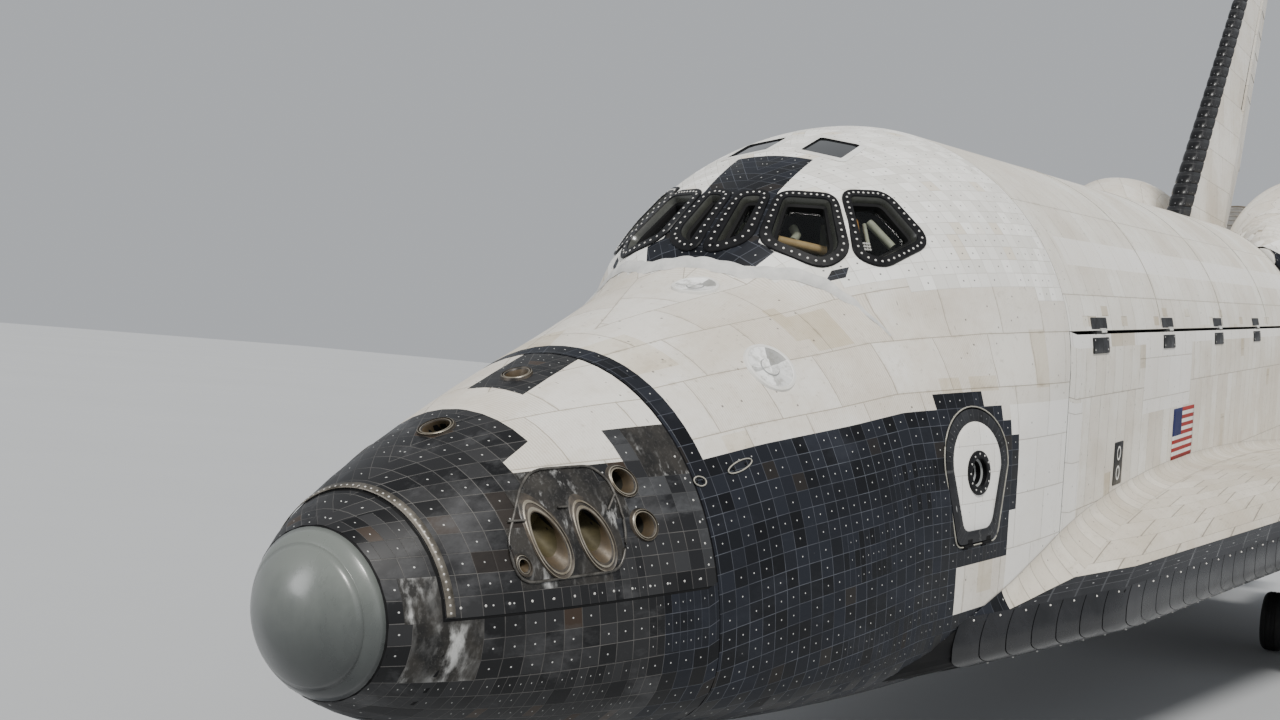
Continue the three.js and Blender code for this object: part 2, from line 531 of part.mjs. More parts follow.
// A box in an engine's own frame: across, along its pitched line, and up from that line.
const engineBox = (e, [x0, x1], [f0, f1], [u0, u1]) =>
  box(x0, x1, f0, f1, u0, u1).rotate([e.pitch, 0, 0]).translate([e.x, e.y, e.z]);
for (const e of ENGINES) {
  aft = aft.add(rod(along(e, -ENGINE_ROOM.depth - 10), along(e, GIMBAL.post - 15), 140, 130, 12));
  aft = aft.add(engineBox(e, [-200, 200], [GIMBAL.post - 40, GIMBAL.post], [-100, 100]));
  for (const side of [-1, 1]) {
    const ear = [GIMBAL.half + SEAT, 200].map((x) => x * side).sort((a, b) => a - b);
    aft = aft.add(engineBox(e, ear, [GIMBAL.post - 20, 60], [-60, 60]));
  }
}
for (const x of FLAP.lugs) {
  const face = FLAP.y - FLAP.r - SEAT;
  aft = aft.add(box(x - 70, x + 70, face - 350, face, FLAP.z - 70, FLAP.z + 70));
}
aft = aft.add(pad(PADS[1])).add(pad(PADS[1], -1));
addNode("aft_fuselage", aft, "blanket");

// Outer bell from the mount to the mouth, then the inner wall back to the throat: radius, distance.
const BELL_OUT = [
  [0, 155], [300, 155], [430, 420], [520, 700], [480, 1150], [250, 1330],
  [430, 1560], [660, 1900], [850, 2350], [1010, 2950], [1120, 3600], [1190, 4267],
];
const BELL_IN = [
  [1140, 4267], [1070, 3600], [950, 2950], [780, 2350], [560, 1850], [130, 1500], [0, 1480],
];
for (const e of ENGINES) {
  const way = engineWay(e);
  const sides = [-GIMBAL.half, GIMBAL.half];
  addNode(`engine_${e.name}_gimbal`, engineBox(e, sides, [-GIMBAL.half, GIMBAL.front], sides), "metal");
  const ears = [[GIMBAL.half + SEAT, 200], [-200, -GIMBAL.half - SEAT]];
  let bell = turned([...BELL_OUT, ...BELL_IN], [e.x, e.y, e.z], way, 24);
  for (const up of ears) bell = bell.add(engineBox(e, [-60, 60], [-60, 250], up));
  addNode(`engine_${e.name}`, bell, "nozzle");
}

const flapRing = (x) => {
  const nose = Array.from({ length: 7 }, (_, i) => {
    const a = deg(90 + i * 30);
    return [x, FLAP.y + FLAP.r * Math.cos(a), FLAP.z + FLAP.r * Math.sin(a)];
  });
  return [...nose, [x, FLAP.tail, 165], [x, FLAP.tail, 205]];
};
addNode("body_flap", loft([flapRing(-FLAP.half), flapRing(FLAP.half)]), "tile");

// Orbital manoeuvring pods: y, middle x and z, half width and half height.
const POD = [
  { y: 27180, x: 1750, z: 4850, a: 250, b: 260 },
  { y: 27700, x: 1900, z: 5040, a: 880, b: 820 },
  { y: 28600, x: 2030, z: 5170, a: 1240, b: 1260 },
  { y: 29900, x: 2130, z: 5290, a: 1400, b: 1520 },
  { y: 31500, x: 2230, z: 5340, a: 1470, b: 1570 },
  { y: 32900, x: 2235, z: 5385, a: 1420, b: 1450 },
  { y: 33600, x: 2235, z: 5385, a: 1180, b: 1180 },
];
const podRing = (s) =>
  Array.from({ length: 24 }, (_, k) => {
    const angle = ((k + 0.5) / 24) * 2 * Math.PI;
    return [s.x + s.a * Math.cos(angle), s.y, s.z + s.b * Math.sin(angle)];
  });
const podBelow = box(0, 4200, 27000, 34000, 0, 4100);
const OMS = { x: 2235, z: 5385, seat: 33600 };
const OMS_WAY = [Math.sin(deg(6)), Math.cos(deg(6)), 0.12];
const OMS_BELL = [
  [0, GAP], [190, GAP], [190, 160], [120, 260], [270, 520], [420, 900], [530, 1290], [560, 1500],
  [520, 1500], [490, 1280], [380, 900], [230, 540], [0, 420],
];
const pod = pieces(
  loft(POD.map(podRing))
    .subtract(aftShell(-2 * GAP))
    .subtract(podBelow)
    .subtract(engineBarrel(ENGINES[0], 20))
    .subtract(upperSweep),
)[0];
const omsEngine = rod([OMS.x, OMS.seat + SEAT, OMS.z], [OMS.x, OMS.seat + 150, OMS.z], 200, 200, 18)
  .add(turned(OMS_BELL, [OMS.x, OMS.seat + 45, OMS.z], OMS_WAY, 18));
for (const [side, turn] of [["left", (b) => b], ["right", mirrored]]) {
  addNode(`oms_pod_${side}`, turn(pod), "blanket");
  addNode(`oms_engine_${side}`, turn(omsEngine), "nozzle");
}

// Fin and rudder

const FIN = {
  rootY: 26440, rootZ: 5660, tipZ: 13614, tipLeadY: 34468, rootTrailY: 33262, tipTrailY: LENGTH,
};
const HINGE = { y0: 32360, z0: 8560, y1: 35941, z1: 13614 };
const finShare = (z) => (z - FIN.rootZ) / (FIN.tipZ - FIN.rootZ);
const rudderHingeY = (z) => lerp(HINGE.y0, HINGE.y1, (z - HINGE.z0) / (HINGE.z1 - HINGE.z0));
const finHalf = (z) => lerp(390, 160, finShare(z)); // half thickness at the hinge line
function finRing(z) {
  const front = lerp(FIN.rootY, FIN.tipLeadY, finShare(z));
  const back = lerp(FIN.rootTrailY, FIN.tipTrailY, finShare(z));
  const h = finHalf(z);
  const half = [[h * 0.35, front + 60], [h * 0.62, front + 420], [h, rudderHingeY(z)], [25, back]];
  const left = half.map(([x, y]) => [x, y, z]);
  const right = half.reverse().map(([x, y]) => [-x, y, z]);
  return [[0, front, z], ...left, ...right];
}
const finBody = loft([5200, 8560, FIN.tipZ].map(finRing));
const hingeAlong = new THREE.Vector3(0, HINGE.y1 - HINGE.y0, HINGE.z1 - HINGE.z0).normalize();
const hingeBack = new THREE.Vector3(0, hingeAlong.z, -hingeAlong.y);
// A point of the rudder's side view: up along the hinge line, and back from it.
const hingePoint = (up, back) => [
  HINGE.y0 + hingeAlong.y * up + hingeBack.y * back,
  HINGE.z0 + hingeAlong.z * up + hingeBack.z * back,
];
const hingeLength = Math.hypot(HINGE.y1 - HINGE.y0, HINGE.z1 - HINGE.z0);
const rudderRoom = (down, x0, x1) => {
  const top = hingeLength + 900;
  const corners = [[-down, 0], [top, 0], [top, 4000], [-down, 4000]];
  return prism(corners.map((c) => hingePoint(...c)), "x", x0, x1);
};
const hingeCone = (extra, from, to, share = 1) => {
  const at = (up) => [0, ...hingePoint(up, 0)];
  const r = (up) => finHalf(HINGE.z0 + hingeAlong.z * up) * share + extra;
  return rod(at(from), at(to), r(from), r(to), 20);
};
const DRUM_STEP = -70; // the drum is this much slimmer than the fin
// Room ahead of the hinge for a panel that is turned and opened fully, in half thicknesses.
const SWING_SHARE = 1.22;
const fin = pieces(
  finBody
    .subtract(rudderRoom(20, -900, 900))
    .subtract(hingeCone(22, -20, hingeLength + 900, SWING_SHARE))
    .subtract(aftShell(-2 * GAP))
    .subtract(engineBarrel(ENGINES[0], 20))
    .subtract(upperSweep)
    .subtract(box(-900, 900, 20000, BAY_BACK + 5, 5000, 7000)),
)[0];
const rudderPin = rod([0, ...hingePoint(-160, 0)], [0, ...hingePoint(-SEAT, 0)], 60);
addNode("vertical_fin", fin.add(rudderPin), "blanket");
const drumTop = hingeLength - 200;
const belowTip = box(-900, 900, 30000, 38000, 8000, FIN.tipZ - 10);
addNode("rudder_drum", hingeCone(DRUM_STEP, 0, drumTop).intersect(belowTip), "tile");
const panelSide = finBody
  .intersect(rudderRoom(0, 5, 900))
  .subtract(hingeCone(DRUM_STEP + 12, -400, drumTop + SEAT));
const panel = pieces(panelSide)[0];
addNode("rudder_panel_left", panel, "blanket");
addNode("rudder_panel_right", mirrored(panel), "blanket");

// Landing gear

// Two wheels on one turning axle: the half track, tyre radius and width, axle radius.
function twinWheels(name, at, half, r, width, axle) {
  const [inner, outer] = [half - width / 2, half + width / 2];
  const rim = r * 0.55;
  const side = [
    [axle, inner + 30], [rim * 0.8, inner + 30], [rim, inner + 12],
    [r * 0.8, inner], [r * 0.95, inner + width * 0.12], [r, inner + width * 0.3],
    [r, outer - width * 0.3], [r * 0.95, outer - width * 0.12], [r * 0.8, outer],
    [rim, outer - 12], [rim * 0.85, outer - 50], [axle * 1.5, outer - 40], [0, outer - 30],
  ];
  const otherSide = side.map(([radius, d]) => [radius, -d]).reverse();
  addNode(name, turned([...otherSide, ...side], at, [1, 0, 0], 20), "rubber");
}
const crossBlock = ([x, y, z], half, r) => rod([x - half, y, z], [x + half, y, z], r, r, 14);

const NOSE_LEG = { split: -330, shell: 95, piston: 68 };
const noseAxle = [0, NOSE_GEAR.y, NOSE_GEAR.z];
const noseUp = (z) => [0, NOSE_GEAR.y, z];
const noseLeg = rod(noseUp(NOSE_LEG.split), noseUp(NOSE_WELL.top - GAP), NOSE_LEG.shell)
  .add(rod(noseUp(-150), [0, NOSE_GEAR.y - 1050, NOSE_WELL.top - 90], 45))
  .add(crossBlock([0, NOSE_GEAR.y, 520], NOSE_WELL.x - GAP, 60));
addNode("nose_gear_leg", noseLeg, "metal");
const nosePiston = rod(noseAxle, noseUp(NOSE_LEG.split - SEAT), NOSE_LEG.piston)
  .add(rod(noseUp(NOSE_LEG.split - 120), noseUp(NOSE_LEG.split - SEAT), 100))
  .add(crossBlock(noseAxle, 125, 92))
  .subtract(crossBlock(noseAxle, 200, 48));
addNode("nose_gear_piston", nosePiston, "metal");
twinWheels("nose_wheels", noseAxle, 280, NOSE_GEAR.r, 224, 46);

const NOSE_DOOR = { thick: 45, drop: 560, lean: 12 };
const noseDoor = () => {
  const lean = deg(NOSE_DOOR.lean);
  const [c, s] = [Math.cos(lean), Math.sin(lean)];
  const corner = (out, down) => [NOSE_WELL.x + 40 + out * c + down * s, 60 + out * s - down * c];
  const { thick, drop } = NOSE_DOOR;
  const outline = [corner(0, 0), corner(thick, 0), corner(thick, drop), corner(0, drop)];
  return prism(outline, "y", NOSE_WELL.y0, NOSE_WELL.y1);
};
const forwardRoom = bodyLoft(FORWARD_STATIONS, NOSE_SIDES, -GAP);
const noseDoorLeft = noseDoor().subtract(forwardRoom);
addNode("nose_gear_door_left", pieces(noseDoorLeft)[0], "tile");
addNode("nose_gear_door_right", pieces(mirrored(noseDoorLeft))[0], "tile");

const MAIN_LEG = { split: -1420, shell: 145, piston: 105 };
const mainAxle = [MAIN_GEAR.x, MAIN_GEAR.y, MAIN_GEAR.z];
const upTo = (z) => [MAIN_GEAR.x, MAIN_GEAR.y, z];
const mainLeg = rod(upTo(MAIN_LEG.split), upTo(MAIN_WELL.top - GAP), MAIN_LEG.shell)
  .add(rod(upTo(-900), [MAIN_GEAR.x, MAIN_GEAR.y - 1700, MAIN_WELL.top - 120], 60))
  .add(rod(upTo(-700), [MAIN_WELL.x0 + 160, MAIN_GEAR.y, MAIN_WELL.top - 150], 55))
  .add(rod(upTo(-1420), upTo(-1250), 175))
  .add(rod(upTo(MAIN_LEG.split), mainAxle, MAIN_LEG.piston))
  .add(crossBlock(mainAxle, 190, 135))
  .subtract(crossBlock(mainAxle, 300, 78.7));
for (const [side, sign, turn] of [["left", 1, (b) => b], ["right", -1, mirrored]]) {
  addNode(`main_gear_leg_${side}`, turn(mainLeg), "metal");
  const at = [sign * MAIN_GEAR.x, MAIN_GEAR.y, MAIN_GEAR.z];
  twinWheels(`main_wheels_${side}`, at, 464, MAIN_GEAR.r, 406, 76);
}

const MAIN_DOOR = { thick: 70, drop: 2100, lean: 8 };
const mainDoor = () => {
  const [c, s] = [Math.cos(deg(MAIN_DOOR.lean)), Math.sin(deg(MAIN_DOOR.lean))];
  const corner = (out, down) => [MAIN_WELL.x1 + 60 + out * c + down * s, 260 + out * s - down * c];
  const { thick, drop } = MAIN_DOOR;
  const outline = [corner(0, 0), corner(thick, 0), corner(thick, drop), corner(0, drop)];
  return prism(outline, "y", MAIN_WELL.y0 + 40, MAIN_WELL.y1 - 40);
};
const loweredRing = (x) => wingRing(x).map(([px, y, z]) => [px, y, z - GAP]);
const wingRoom = loft(WING_STATIONS.filter((x) => x < 8000).map(loweredRing));
const mainDoorLeft = pieces(mainDoor().subtract(wingRoom)).find((b) => b.boundingBox().min[2] < -500);
addNode("main_gear_door_left", mainDoorLeft, "tile");
addNode("main_gear_door_right", mirrored(mainDoorLeft), "tile");

// Stand the vehicle on its wheels, with the origin on the ground under the middle of its box.
shuttle.rotation.x = PARK_TILT;
shuttle.updateMatrixWorld(true);
const extent = new THREE.Box3().setFromObject(shuttle, true);
const middle = extent.getCenter(new THREE.Vector3());
shuttle.position.set(-middle.x, -middle.y, -extent.min.z);

export default shuttle;
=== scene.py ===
# A winged space shuttle orbiter on its landing gear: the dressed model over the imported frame.
# Shapes are made in the vehicle's own axes in metres (X to port, Y aft from the nose tip, Z up from the
# belly) and turned by PLACE into the part's frame, where the vehicle stands nose down.
import math
import random

import bmesh
import bpy
import numpy as np
from mathutils import Matrix, Vector
from mathutils.bvhtree import BVHTree


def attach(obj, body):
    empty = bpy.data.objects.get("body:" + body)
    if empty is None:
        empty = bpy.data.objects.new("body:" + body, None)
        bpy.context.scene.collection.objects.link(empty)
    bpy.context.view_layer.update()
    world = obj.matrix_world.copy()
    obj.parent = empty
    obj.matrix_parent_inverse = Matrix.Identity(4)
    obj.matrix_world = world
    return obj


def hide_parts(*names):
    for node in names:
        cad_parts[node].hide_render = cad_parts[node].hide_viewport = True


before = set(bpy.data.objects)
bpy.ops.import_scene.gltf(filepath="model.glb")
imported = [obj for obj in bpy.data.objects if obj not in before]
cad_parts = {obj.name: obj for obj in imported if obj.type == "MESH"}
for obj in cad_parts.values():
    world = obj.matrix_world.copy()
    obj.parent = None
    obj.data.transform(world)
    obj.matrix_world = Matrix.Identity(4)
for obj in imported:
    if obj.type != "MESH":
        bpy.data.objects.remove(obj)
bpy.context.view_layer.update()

# The skin's own dimensions, in metres
TILE = 0.15
MERGE = 1e-5  # points of a piece nearer than this become one
CLEAR = 0.004  # the least distance of a skin from the solid under it
SEAM = 0.009  # half the width of a seam between patches of skin
SEAM_TUBE = 0.007  # the radius of the sewn seams
PROUD = 0.006  # how far the skin lies outside the CAD solids

# Driving dimensions, the same as in the part's source, in metres
BODY = "airframe"
PARK_TILT = math.radians(4)
SHIFT = (0, -18.04341, 1.07746)
PLACE = Matrix.Translation(SHIFT) @ Matrix.Rotation(PARK_TILT, 4, "X")
BAY_RADIUS = 2.667
BAY_AXIS_Z = 3.048
CANOPY_Y = 7.798
CENTRE = Vector((0, CANOPY_Y, BAY_AXIS_Z))  # the canopy's centre, from which the windows are set out
NOSE_CAP_END = 0.31
CANOPY_REACH = 4.0
CANOPY_POWER = 1.5
BAY_FRONT = 8.90
BAY_BACK = 27.14
SILL_Z = 3.48
BASE_SLANT = 0.24
BASE_FROM = 29.3  # where the stations begin to lean towards the slanted base
BODY_END = 32.62
HALF_SPAN = 11.896
HATCH_HINGE = (6.68, 1.486)
BASE_LINE_Z = 1.53  # tile rows run along this height on the side
# y, half width, bottom, height of the widest point, top, upper and lower roundness
SECTIONS = np.array([
    (0, 0.06, 1.44, 1.5, 1.56, 2, 2),
    (0.06, 0.296, 1.208, 1.5, 1.792, 2, 2),
    (0.2, 0.514, 1.0, 1.49, 2.0, 2, 2),
    (0.43, 0.7, 0.836, 1.47, 2.18, 2, 2),
    (0.7, 0.855, 0.7, 1.44, 2.335, 2, 2.1),
    (1.575, 1.245, 0.42, 1.27, 2.72, 2, 2.3),
    (2.845, 1.651, 0.203, 1.067, 3.17, 2.05, 2.6),
    (4.115, 1.981, 0.076, 0.965, 3.56, 2.1, 3),
    (5.385, 2.261, 0.02, 1.06, 3.96, 2.2, 3.6),
    (6.655, 2.464, 0, 1.5, 4.37, 2.5, 4.8),
    (CANOPY_Y, 2.61, 0, 2.3, 4.9, 2.3, 6),
    (BAY_FRONT, BAY_RADIUS, 0, BAY_AXIS_Z, 5.6, 2, 7),
    (BAY_BACK, BAY_RADIUS, 0, BAY_AXIS_Z, 5.6, 2, 7),
    (BASE_FROM, 2.74, 0.03, BAY_AXIS_Z, 5.56, 2.2, 7),
    (BODY_END, 2.85, 0.09, BAY_AXIS_Z, 5.4, 2.4, 7),
])

random.seed(7)


def lerp(a, b, t):
    return a + (b - a) * t


def clamp(value, low=0.0, high=1.0):
    return max(low, min(high, value))


def lerp_pair(a, b, t):
    return lerp(a[0], b[0], t), lerp(a[1], b[1], t)


def table(x, pairs):
    """Straight lines between the (x, y) pairs."""
    return float(np.interp(x, [p[0] for p in pairs], [p[1] for p in pairs]))


# Materials


class Shader:
    """A node material, with short calls for the nodes that it needs."""

    def __init__(self, name, color=(0.8, 0.8, 0.8), rough=0.5, metal=0.0, **sockets):
        self.mat = bpy.data.materials.new(name)
        self.mat.use_nodes = True
        self.tree = self.mat.node_tree
        self.out = self.tree.nodes["Principled BSDF"]
        self.set(self.out, {"Base Color": (*color, 1), "Roughness": rough, "Metallic": metal})
        self.set(self.out, {key.replace("_", " "): value for key, value in sockets.items()})

    def set(self, node, inputs):
        for key, value in inputs.items():
            socket = node.inputs[key]
            if isinstance(value, bpy.types.NodeSocket):
                self.tree.links.new(value, socket)
            else:
                socket.default_value = value

    def add(self, kind, inputs=(), output=0, **props):
        node = self.tree.nodes.new("ShaderNode" + kind)
        for key, value in props.items():
            setattr(node, key, value)
        self.set(node, dict(inputs))
        return node.outputs[output]

    def math(self, operation, a, b=0.0):
        return self.add("Math", {0: a, 1: b}, operation=operation)

    def vector(self, operation, a, b=(0, 0, 0), output=0):
        return self.add("VectorMath", {0: a, 1: b}, output, operation=operation)

    def scale(self, vector, factors):
        return self.vector("MULTIPLY", vector, factors)

    def uv(self, flat=None):
        """The UV map, or two of the object's own axes in tiles, such as "yz"."""
        if not flat:
            return self.add("UVMap", uv_map="UVMap")
        split = self.split(self.place())
        axes = [self.math("DIVIDE", split["xyz".index(axis)], TILE) for axis in flat]
        return self.add("CombineXYZ", {0: axes[0], 1: axes[1]})

    def place(self):
        return self.add("TexCoord", output="Object")

    def split(self, vector):
        return self.add("SeparateXYZ", {0: vector}).node.outputs

    def random(self, vector):
        return self.add("TexWhiteNoise", {"Vector": vector}, noise_dimensions="2D")

    def noise(self, vector, scale, detail=3.0, rough=0.55):
        return self.add("TexNoise", {"Vector": vector, "Scale": scale, "Detail": detail, "Roughness": rough})

    def brick(self, vector, size, mortar, smooth):
        """A brick pattern's outputs: a tone for each brick, and the mortar."""
        node = self.tree.nodes.new("ShaderNodeTexBrick")
        node.offset = 0.37
        self.set(node, {"Vector": vector, "Color1": (0, 0, 0, 1), "Color2": (1, 1, 1, 1),
                        "Mortar": (0.5, 0.5, 0.5, 1), "Scale": 1.0, "Mortar Size": mortar,
                        "Mortar Smooth": smooth, "Brick Width": size[0], "Row Height": size[1]})
        return node.outputs

    def spots(self, vector, spread, above, inner, outer):
        """Round spots in the cells whose random value lies above a bound."""
        inputs = {"Vector": vector, "Scale": 1.0, "Randomness": spread}
        cells = self.add("TexVoronoi", inputs).node.outputs
        chosen = self.math("GREATER_THAN", self.split(cells["Color"])[0], above)
        return self.math("MULTIPLY", self.ramp(cells["Distance"], (inner, 1), (outer, 0)), chosen)

    def ramp(self, factor, *stops):
        """Straight lines from 0 to 1 between (place, value) stops, as a grey value."""
        node = self.tree.nodes.new("ShaderNodeValToRGB")
        ramp = node.color_ramp
        while len(ramp.elements) < len(stops):
            ramp.elements.new(0.5)
        for element, (place, value) in zip(ramp.elements, stops):
            element.position = place
            element.color = value if isinstance(value, tuple) else (value, value, value, 1)
        self.tree.links.new(factor, node.inputs[0])
        return node.outputs[0]

    def mix(self, factor, a, b):
        node = self.tree.nodes.new("ShaderNodeMix")
        node.data_type = "RGBA"
        ends = [(*v, 1) if isinstance(v, tuple) and len(v) == 3 else v for v in (a, b)]
        self.set(node, {0: factor, 6: ends[0], 7: ends[1]})
        return node.outputs[2]

    def finish(self, color=None, rough=None, height=None, depth=0.004, strength=0.6):
        if color is not None:
            self.set(self.out, {"Base Color": color})
        if rough is not None:
            self.set(self.out, {"Roughness": rough})
        if height is not None:
            bump = self.add("Bump", {"Height": height, "Distance": depth, "Strength": strength})
            self.set(self.out, {"Normal": bump})
        return self.mat


def darker(color, share):
    return tuple(c * share for c in color)


def tile_material(name, dark, light, gap, dot, odd=None, rough=0.42, scuff_and_sheen=0.25, gap_width=0.03,
                  gloss=0.3, flat=None, plug_size=0.030, halves=0.0):
    """Tiles, one to each unit of the UV map, with gaps, centre plugs and a tone of their own. In some
    groups the tiles are halved."""
    s = Shader(name, Specular_IOR_Level=gloss)
    uv = s.uv(flat)
    if halves:
        halved = s.math("LESS_THAN", s.random(s.vector("FLOOR", s.scale(uv, (0.2, 0.34, 0)))), halves)
        uv = s.vector("MULTIPLY", uv, s.add("CombineXYZ", {0: s.math("ADD", halved, 1.0), 1: 1.0, 2: 0.0}))
    cell = s.vector("FLOOR", uv)
    pick = s.random(cell)
    pick_two = s.random(s.vector("ADD", cell, (17.3, 5.1, 0)))
    off = s.vector("SUBTRACT", s.vector("FRACTION", uv), (0.5, 0.5, 0.5))
    sides = s.split(s.vector("ABSOLUTE", off))
    edge = s.math("MAXIMUM", sides[0], sides[1])
    seam = s.ramp(edge, (0.5 - gap_width * 1.4, 0), (0.5 - gap_width * 0.6, 1))
    from_middle = s.vector("LENGTH", s.scale(off, (1, 1, 0)), output=1)
    plug = s.ramp(from_middle, (plug_size, 1), (plug_size * 1.6, 0))
    tone = s.mix(s.ramp(pick, (0.1, 0), (0.95, 1)), dark, light)
    tone = s.mix(s.ramp(pick_two, (0.975, 0), (0.98, 1)), tone, odd or light)
    # Lighter rubbed streaks: scuff marks, and at the strong settings of the nose tiles, painted sheen of lit
    # tiles.
    rub_and_sheen = s.ramp(s.noise(s.scale(s.place(), (1, 0.35, 1)), 2.2, 6, 0.7), (0.52, 0), (0.8, scuff_and_sheen))
    tone = s.mix(rub_and_sheen, tone, tuple(min(1, c * 2.5 + 0.03) for c in light))
    faint = s.ramp(s.noise(s.place(), 2.6, 4, 0.6), (0.38, 0.35), (0.62, 1))
    tone = s.mix(s.math("MULTIPLY", seam, faint), tone, gap)
    some = s.ramp(pick_two, (0.28, 0), (0.3, 1))
    tone = s.mix(s.math("MULTIPLY", plug, some), tone, dot)
    shine = s.math("ADD", s.math("MULTIPLY", pick, 0.22), rough - 0.1)
    height = s.math("SUBTRACT", s.math("MULTIPLY", pick_two, 0.25), seam)
    return s.finish(tone, shine, height, 0.006, 0.5)


def blanket_material(name, light, stained, seam_color, panel=(5.0, 3.6), stain=0.5, ribs=1.0, flat=None):
    """Sewn white blanket: panels with seams, fine quilting lines, stains, specks and short dashes."""
    s = Shader(name, Specular_IOR_Level=0.3)
    uv = s.uv(flat)
    tint, seams = list(s.brick(uv, panel, 0.035, 0.3))[:2]
    wave = s.math("SINE", s.math("MULTIPLY", s.split(uv)[0], 2 * math.pi * 6))
    wave = s.math("MULTIPLY", wave, s.ramp(tint, (0.35, 0.25), (0.55, 1)))
    rib = s.math("MULTIPLY", s.math("ADD", wave, 1.0), 0.5)
    place = s.place()
    drawn = s.scale(place, (1, 0.6, 1))
    tone = s.mix(s.math("MULTIPLY", tint, 0.75 * stain), light, stained)
    tone = s.mix(s.ramp(s.noise(drawn, 0.9, 6, 0.7), (0.42, 0), (0.66, stain)), tone, stained)
    spots = s.ramp(s.noise(place, 7.0, 4, 0.75), (0.63, 0), (0.72, stain * 0.7))
    tone = s.mix(spots, tone, darker(stained, 0.55))
    dirty = s.ramp(s.noise(s.scale(place, (1, 0.8, 1)), 1.7, 3, 0.6), (0.40, 0.12), (0.62, 1))
    dirt = s.ramp(s.noise(drawn, 20.0, 5, 0.8), (0.58, 0), (0.68, stain))
    tone = s.mix(s.math("MULTIPLY", dirt, dirty), tone, darker(stained, 0.35))
    runs = s.noise(s.scale(place, (4.5, 4.5, 0.45)), 1.6, 5, 0.7)
    tone = s.mix(s.ramp(runs, (0.52, 0), (0.68, 0.35 * stain)), tone, darker(stained, 0.8))
    specks = s.spots(s.scale(uv, (1.3, 1.3, 0)), 0.7, 0.5, 0.07, 0.11)
    tone = s.mix(s.math("MULTIPLY", specks, 0.85), tone, (0.07, 0.062, 0.055))
    dashes = s.spots(s.scale(uv, (3.2, 0.62, 0)), 0.8, 0.86, 0.07, 0.12)
    tone = s.mix(s.math("MULTIPLY", dashes, 0.7), tone, (0.13, 0.11, 0.09))
    tone = s.mix(s.math("MULTIPLY", s.math("SUBTRACT", 1.0, rib), 0.30 * ribs), tone, seam_color)
    border = s.brick(uv, panel, 0.22, 1.0)[1]
    sooty = s.ramp(s.noise(place, 6.0, 5, 0.75), (0.50, 0), (0.66, 0.9 * stain))
    tone = s.mix(s.math("MULTIPLY", border, sooty), tone, darker(stained, 0.55))
    tone = s.mix(s.math("MULTIPLY", seams, 0.8), tone, seam_color)
    height = s.math("SUBTRACT", s.math("MULTIPLY", rib, 0.45 * ribs), seams)
    return s.finish(tone, None, height, 0.005, 0.55)


def worn_material(name, color, second, rough=0.5, metal=0.0, scale=3.0, grain=40.0, bump=0.002, **sockets):
    """One material with cloudy wear and a fine grain."""
    s = Shader(name, color, rough, metal, **sockets)
    place = s.place()
    cloud = s.ramp(s.noise(place, scale, 6, 0.65), (0.35, 0), (0.7, 1))
    fine = s.noise(place, grain, 3, 0.6)
    tone = s.mix(cloud, color, second)
    shine = s.ramp(cloud, (0, clamp(rough - 0.08)), (1, clamp(rough + 0.12)))
    return s.finish(tone, shine, fine, bump, 0.35)


def streaked_material(name, stretch, detail, start):
    """Dark plate with silvery rubbed streaks or clouds."""
    s = Shader(name, (0.02, 0.02, 0.02), 0.35, 0.3)
    place = s.place()
    long = s.noise(s.scale(place, stretch), 1.3, detail, 0.6)
    some = s.ramp(s.noise(place, 3.2, 2, 0.5), (0.46, 0.12), (0.60, 1))
    streaks = s.math("MULTIPLY", s.ramp(long, (start, 0), (start + 0.07, 0.3), (start + 0.17, 1)), some)
    grit = s.ramp(s.noise(place, 38, 4, 0.7), (0.55, 0), (0.7, 1))
    cloud = s.ramp(s.noise(place, 4, 4, 0.6), (0.4, 0), (0.6, 1))
    tone = s.mix(cloud, (0.006, 0.0055, 0.005), (0.028, 0.025, 0.021))
    tone = s.mix(streaks, tone, (0.46, 0.455, 0.44))
    tone = s.mix(s.math("MULTIPLY", grit, 0.2), tone, (0.17, 0.16, 0.15))
    return s.finish(tone, s.ramp(long, (0.4, 0.5), (0.7, 0.28)), grit, 0.002, 0.4)


def cap_material():
    """Greenish grey carbon with faint clouds and painted shade, darker towards its underside."""
    s = Shader("nose_carbon", rough=0.32, Coat_Weight=0.35, Coat_Roughness=0.2)
    place = s.place()
    foot = tuple(PLACE @ Vector((0, 0, 0.85)))
    height = s.split(s.vector("SUBTRACT", place, foot))[2]
    cloud = s.noise(s.scale(place, (1, 1, 0.6)), 2.4, 6, 0.65)
    # Painted shade: darkest at the cap's foot and lighter towards its top, stirred by the clouds.
    shade = s.math("ADD", height, s.math("MULTIPLY", s.math("SUBTRACT", cloud, 0.5), 0.55))
    tone = s.ramp(shade, (0.15, (0.016, 0.019, 0.019, 1)), (0.62, (0.062, 0.069, 0.065, 1)),
                  (1.0, (0.135, 0.147, 0.134, 1)))
    return s.finish(tone, s.ramp(cloud, (0.35, 0.24), (0.7, 0.42)), s.noise(place, 60), 0.001, 0.35)


def dish_material():
    """A bright dish of flat leaves, each in a grey of its own as painted shade of a faceted hollow, with a
    stained middle.
    """
    s = Shader("tracker_dish", (0.7, 0.7, 0.68), 0.35)
    # Painted shade: a grey for each leaf, so that the flat dish looks like a faceted hollow.
    leaf_shade = s.random(s.scale(s.vector("FLOOR", s.uv()), (1, 0, 0)))
    cloud = s.ramp(s.noise(s.place(), 11, 5, 0.7), (0.45, 0), (0.62, 1))
    tone = s.mix(s.ramp(leaf_shade, (0.2, 0), (0.9, 1)), (0.30, 0.30, 0.29), (0.86, 0.86, 0.84))
    tone = s.mix(s.math("MULTIPLY", cloud, 0.55), tone, (0.17, 0.16, 0.13))
    return s.finish(tone)


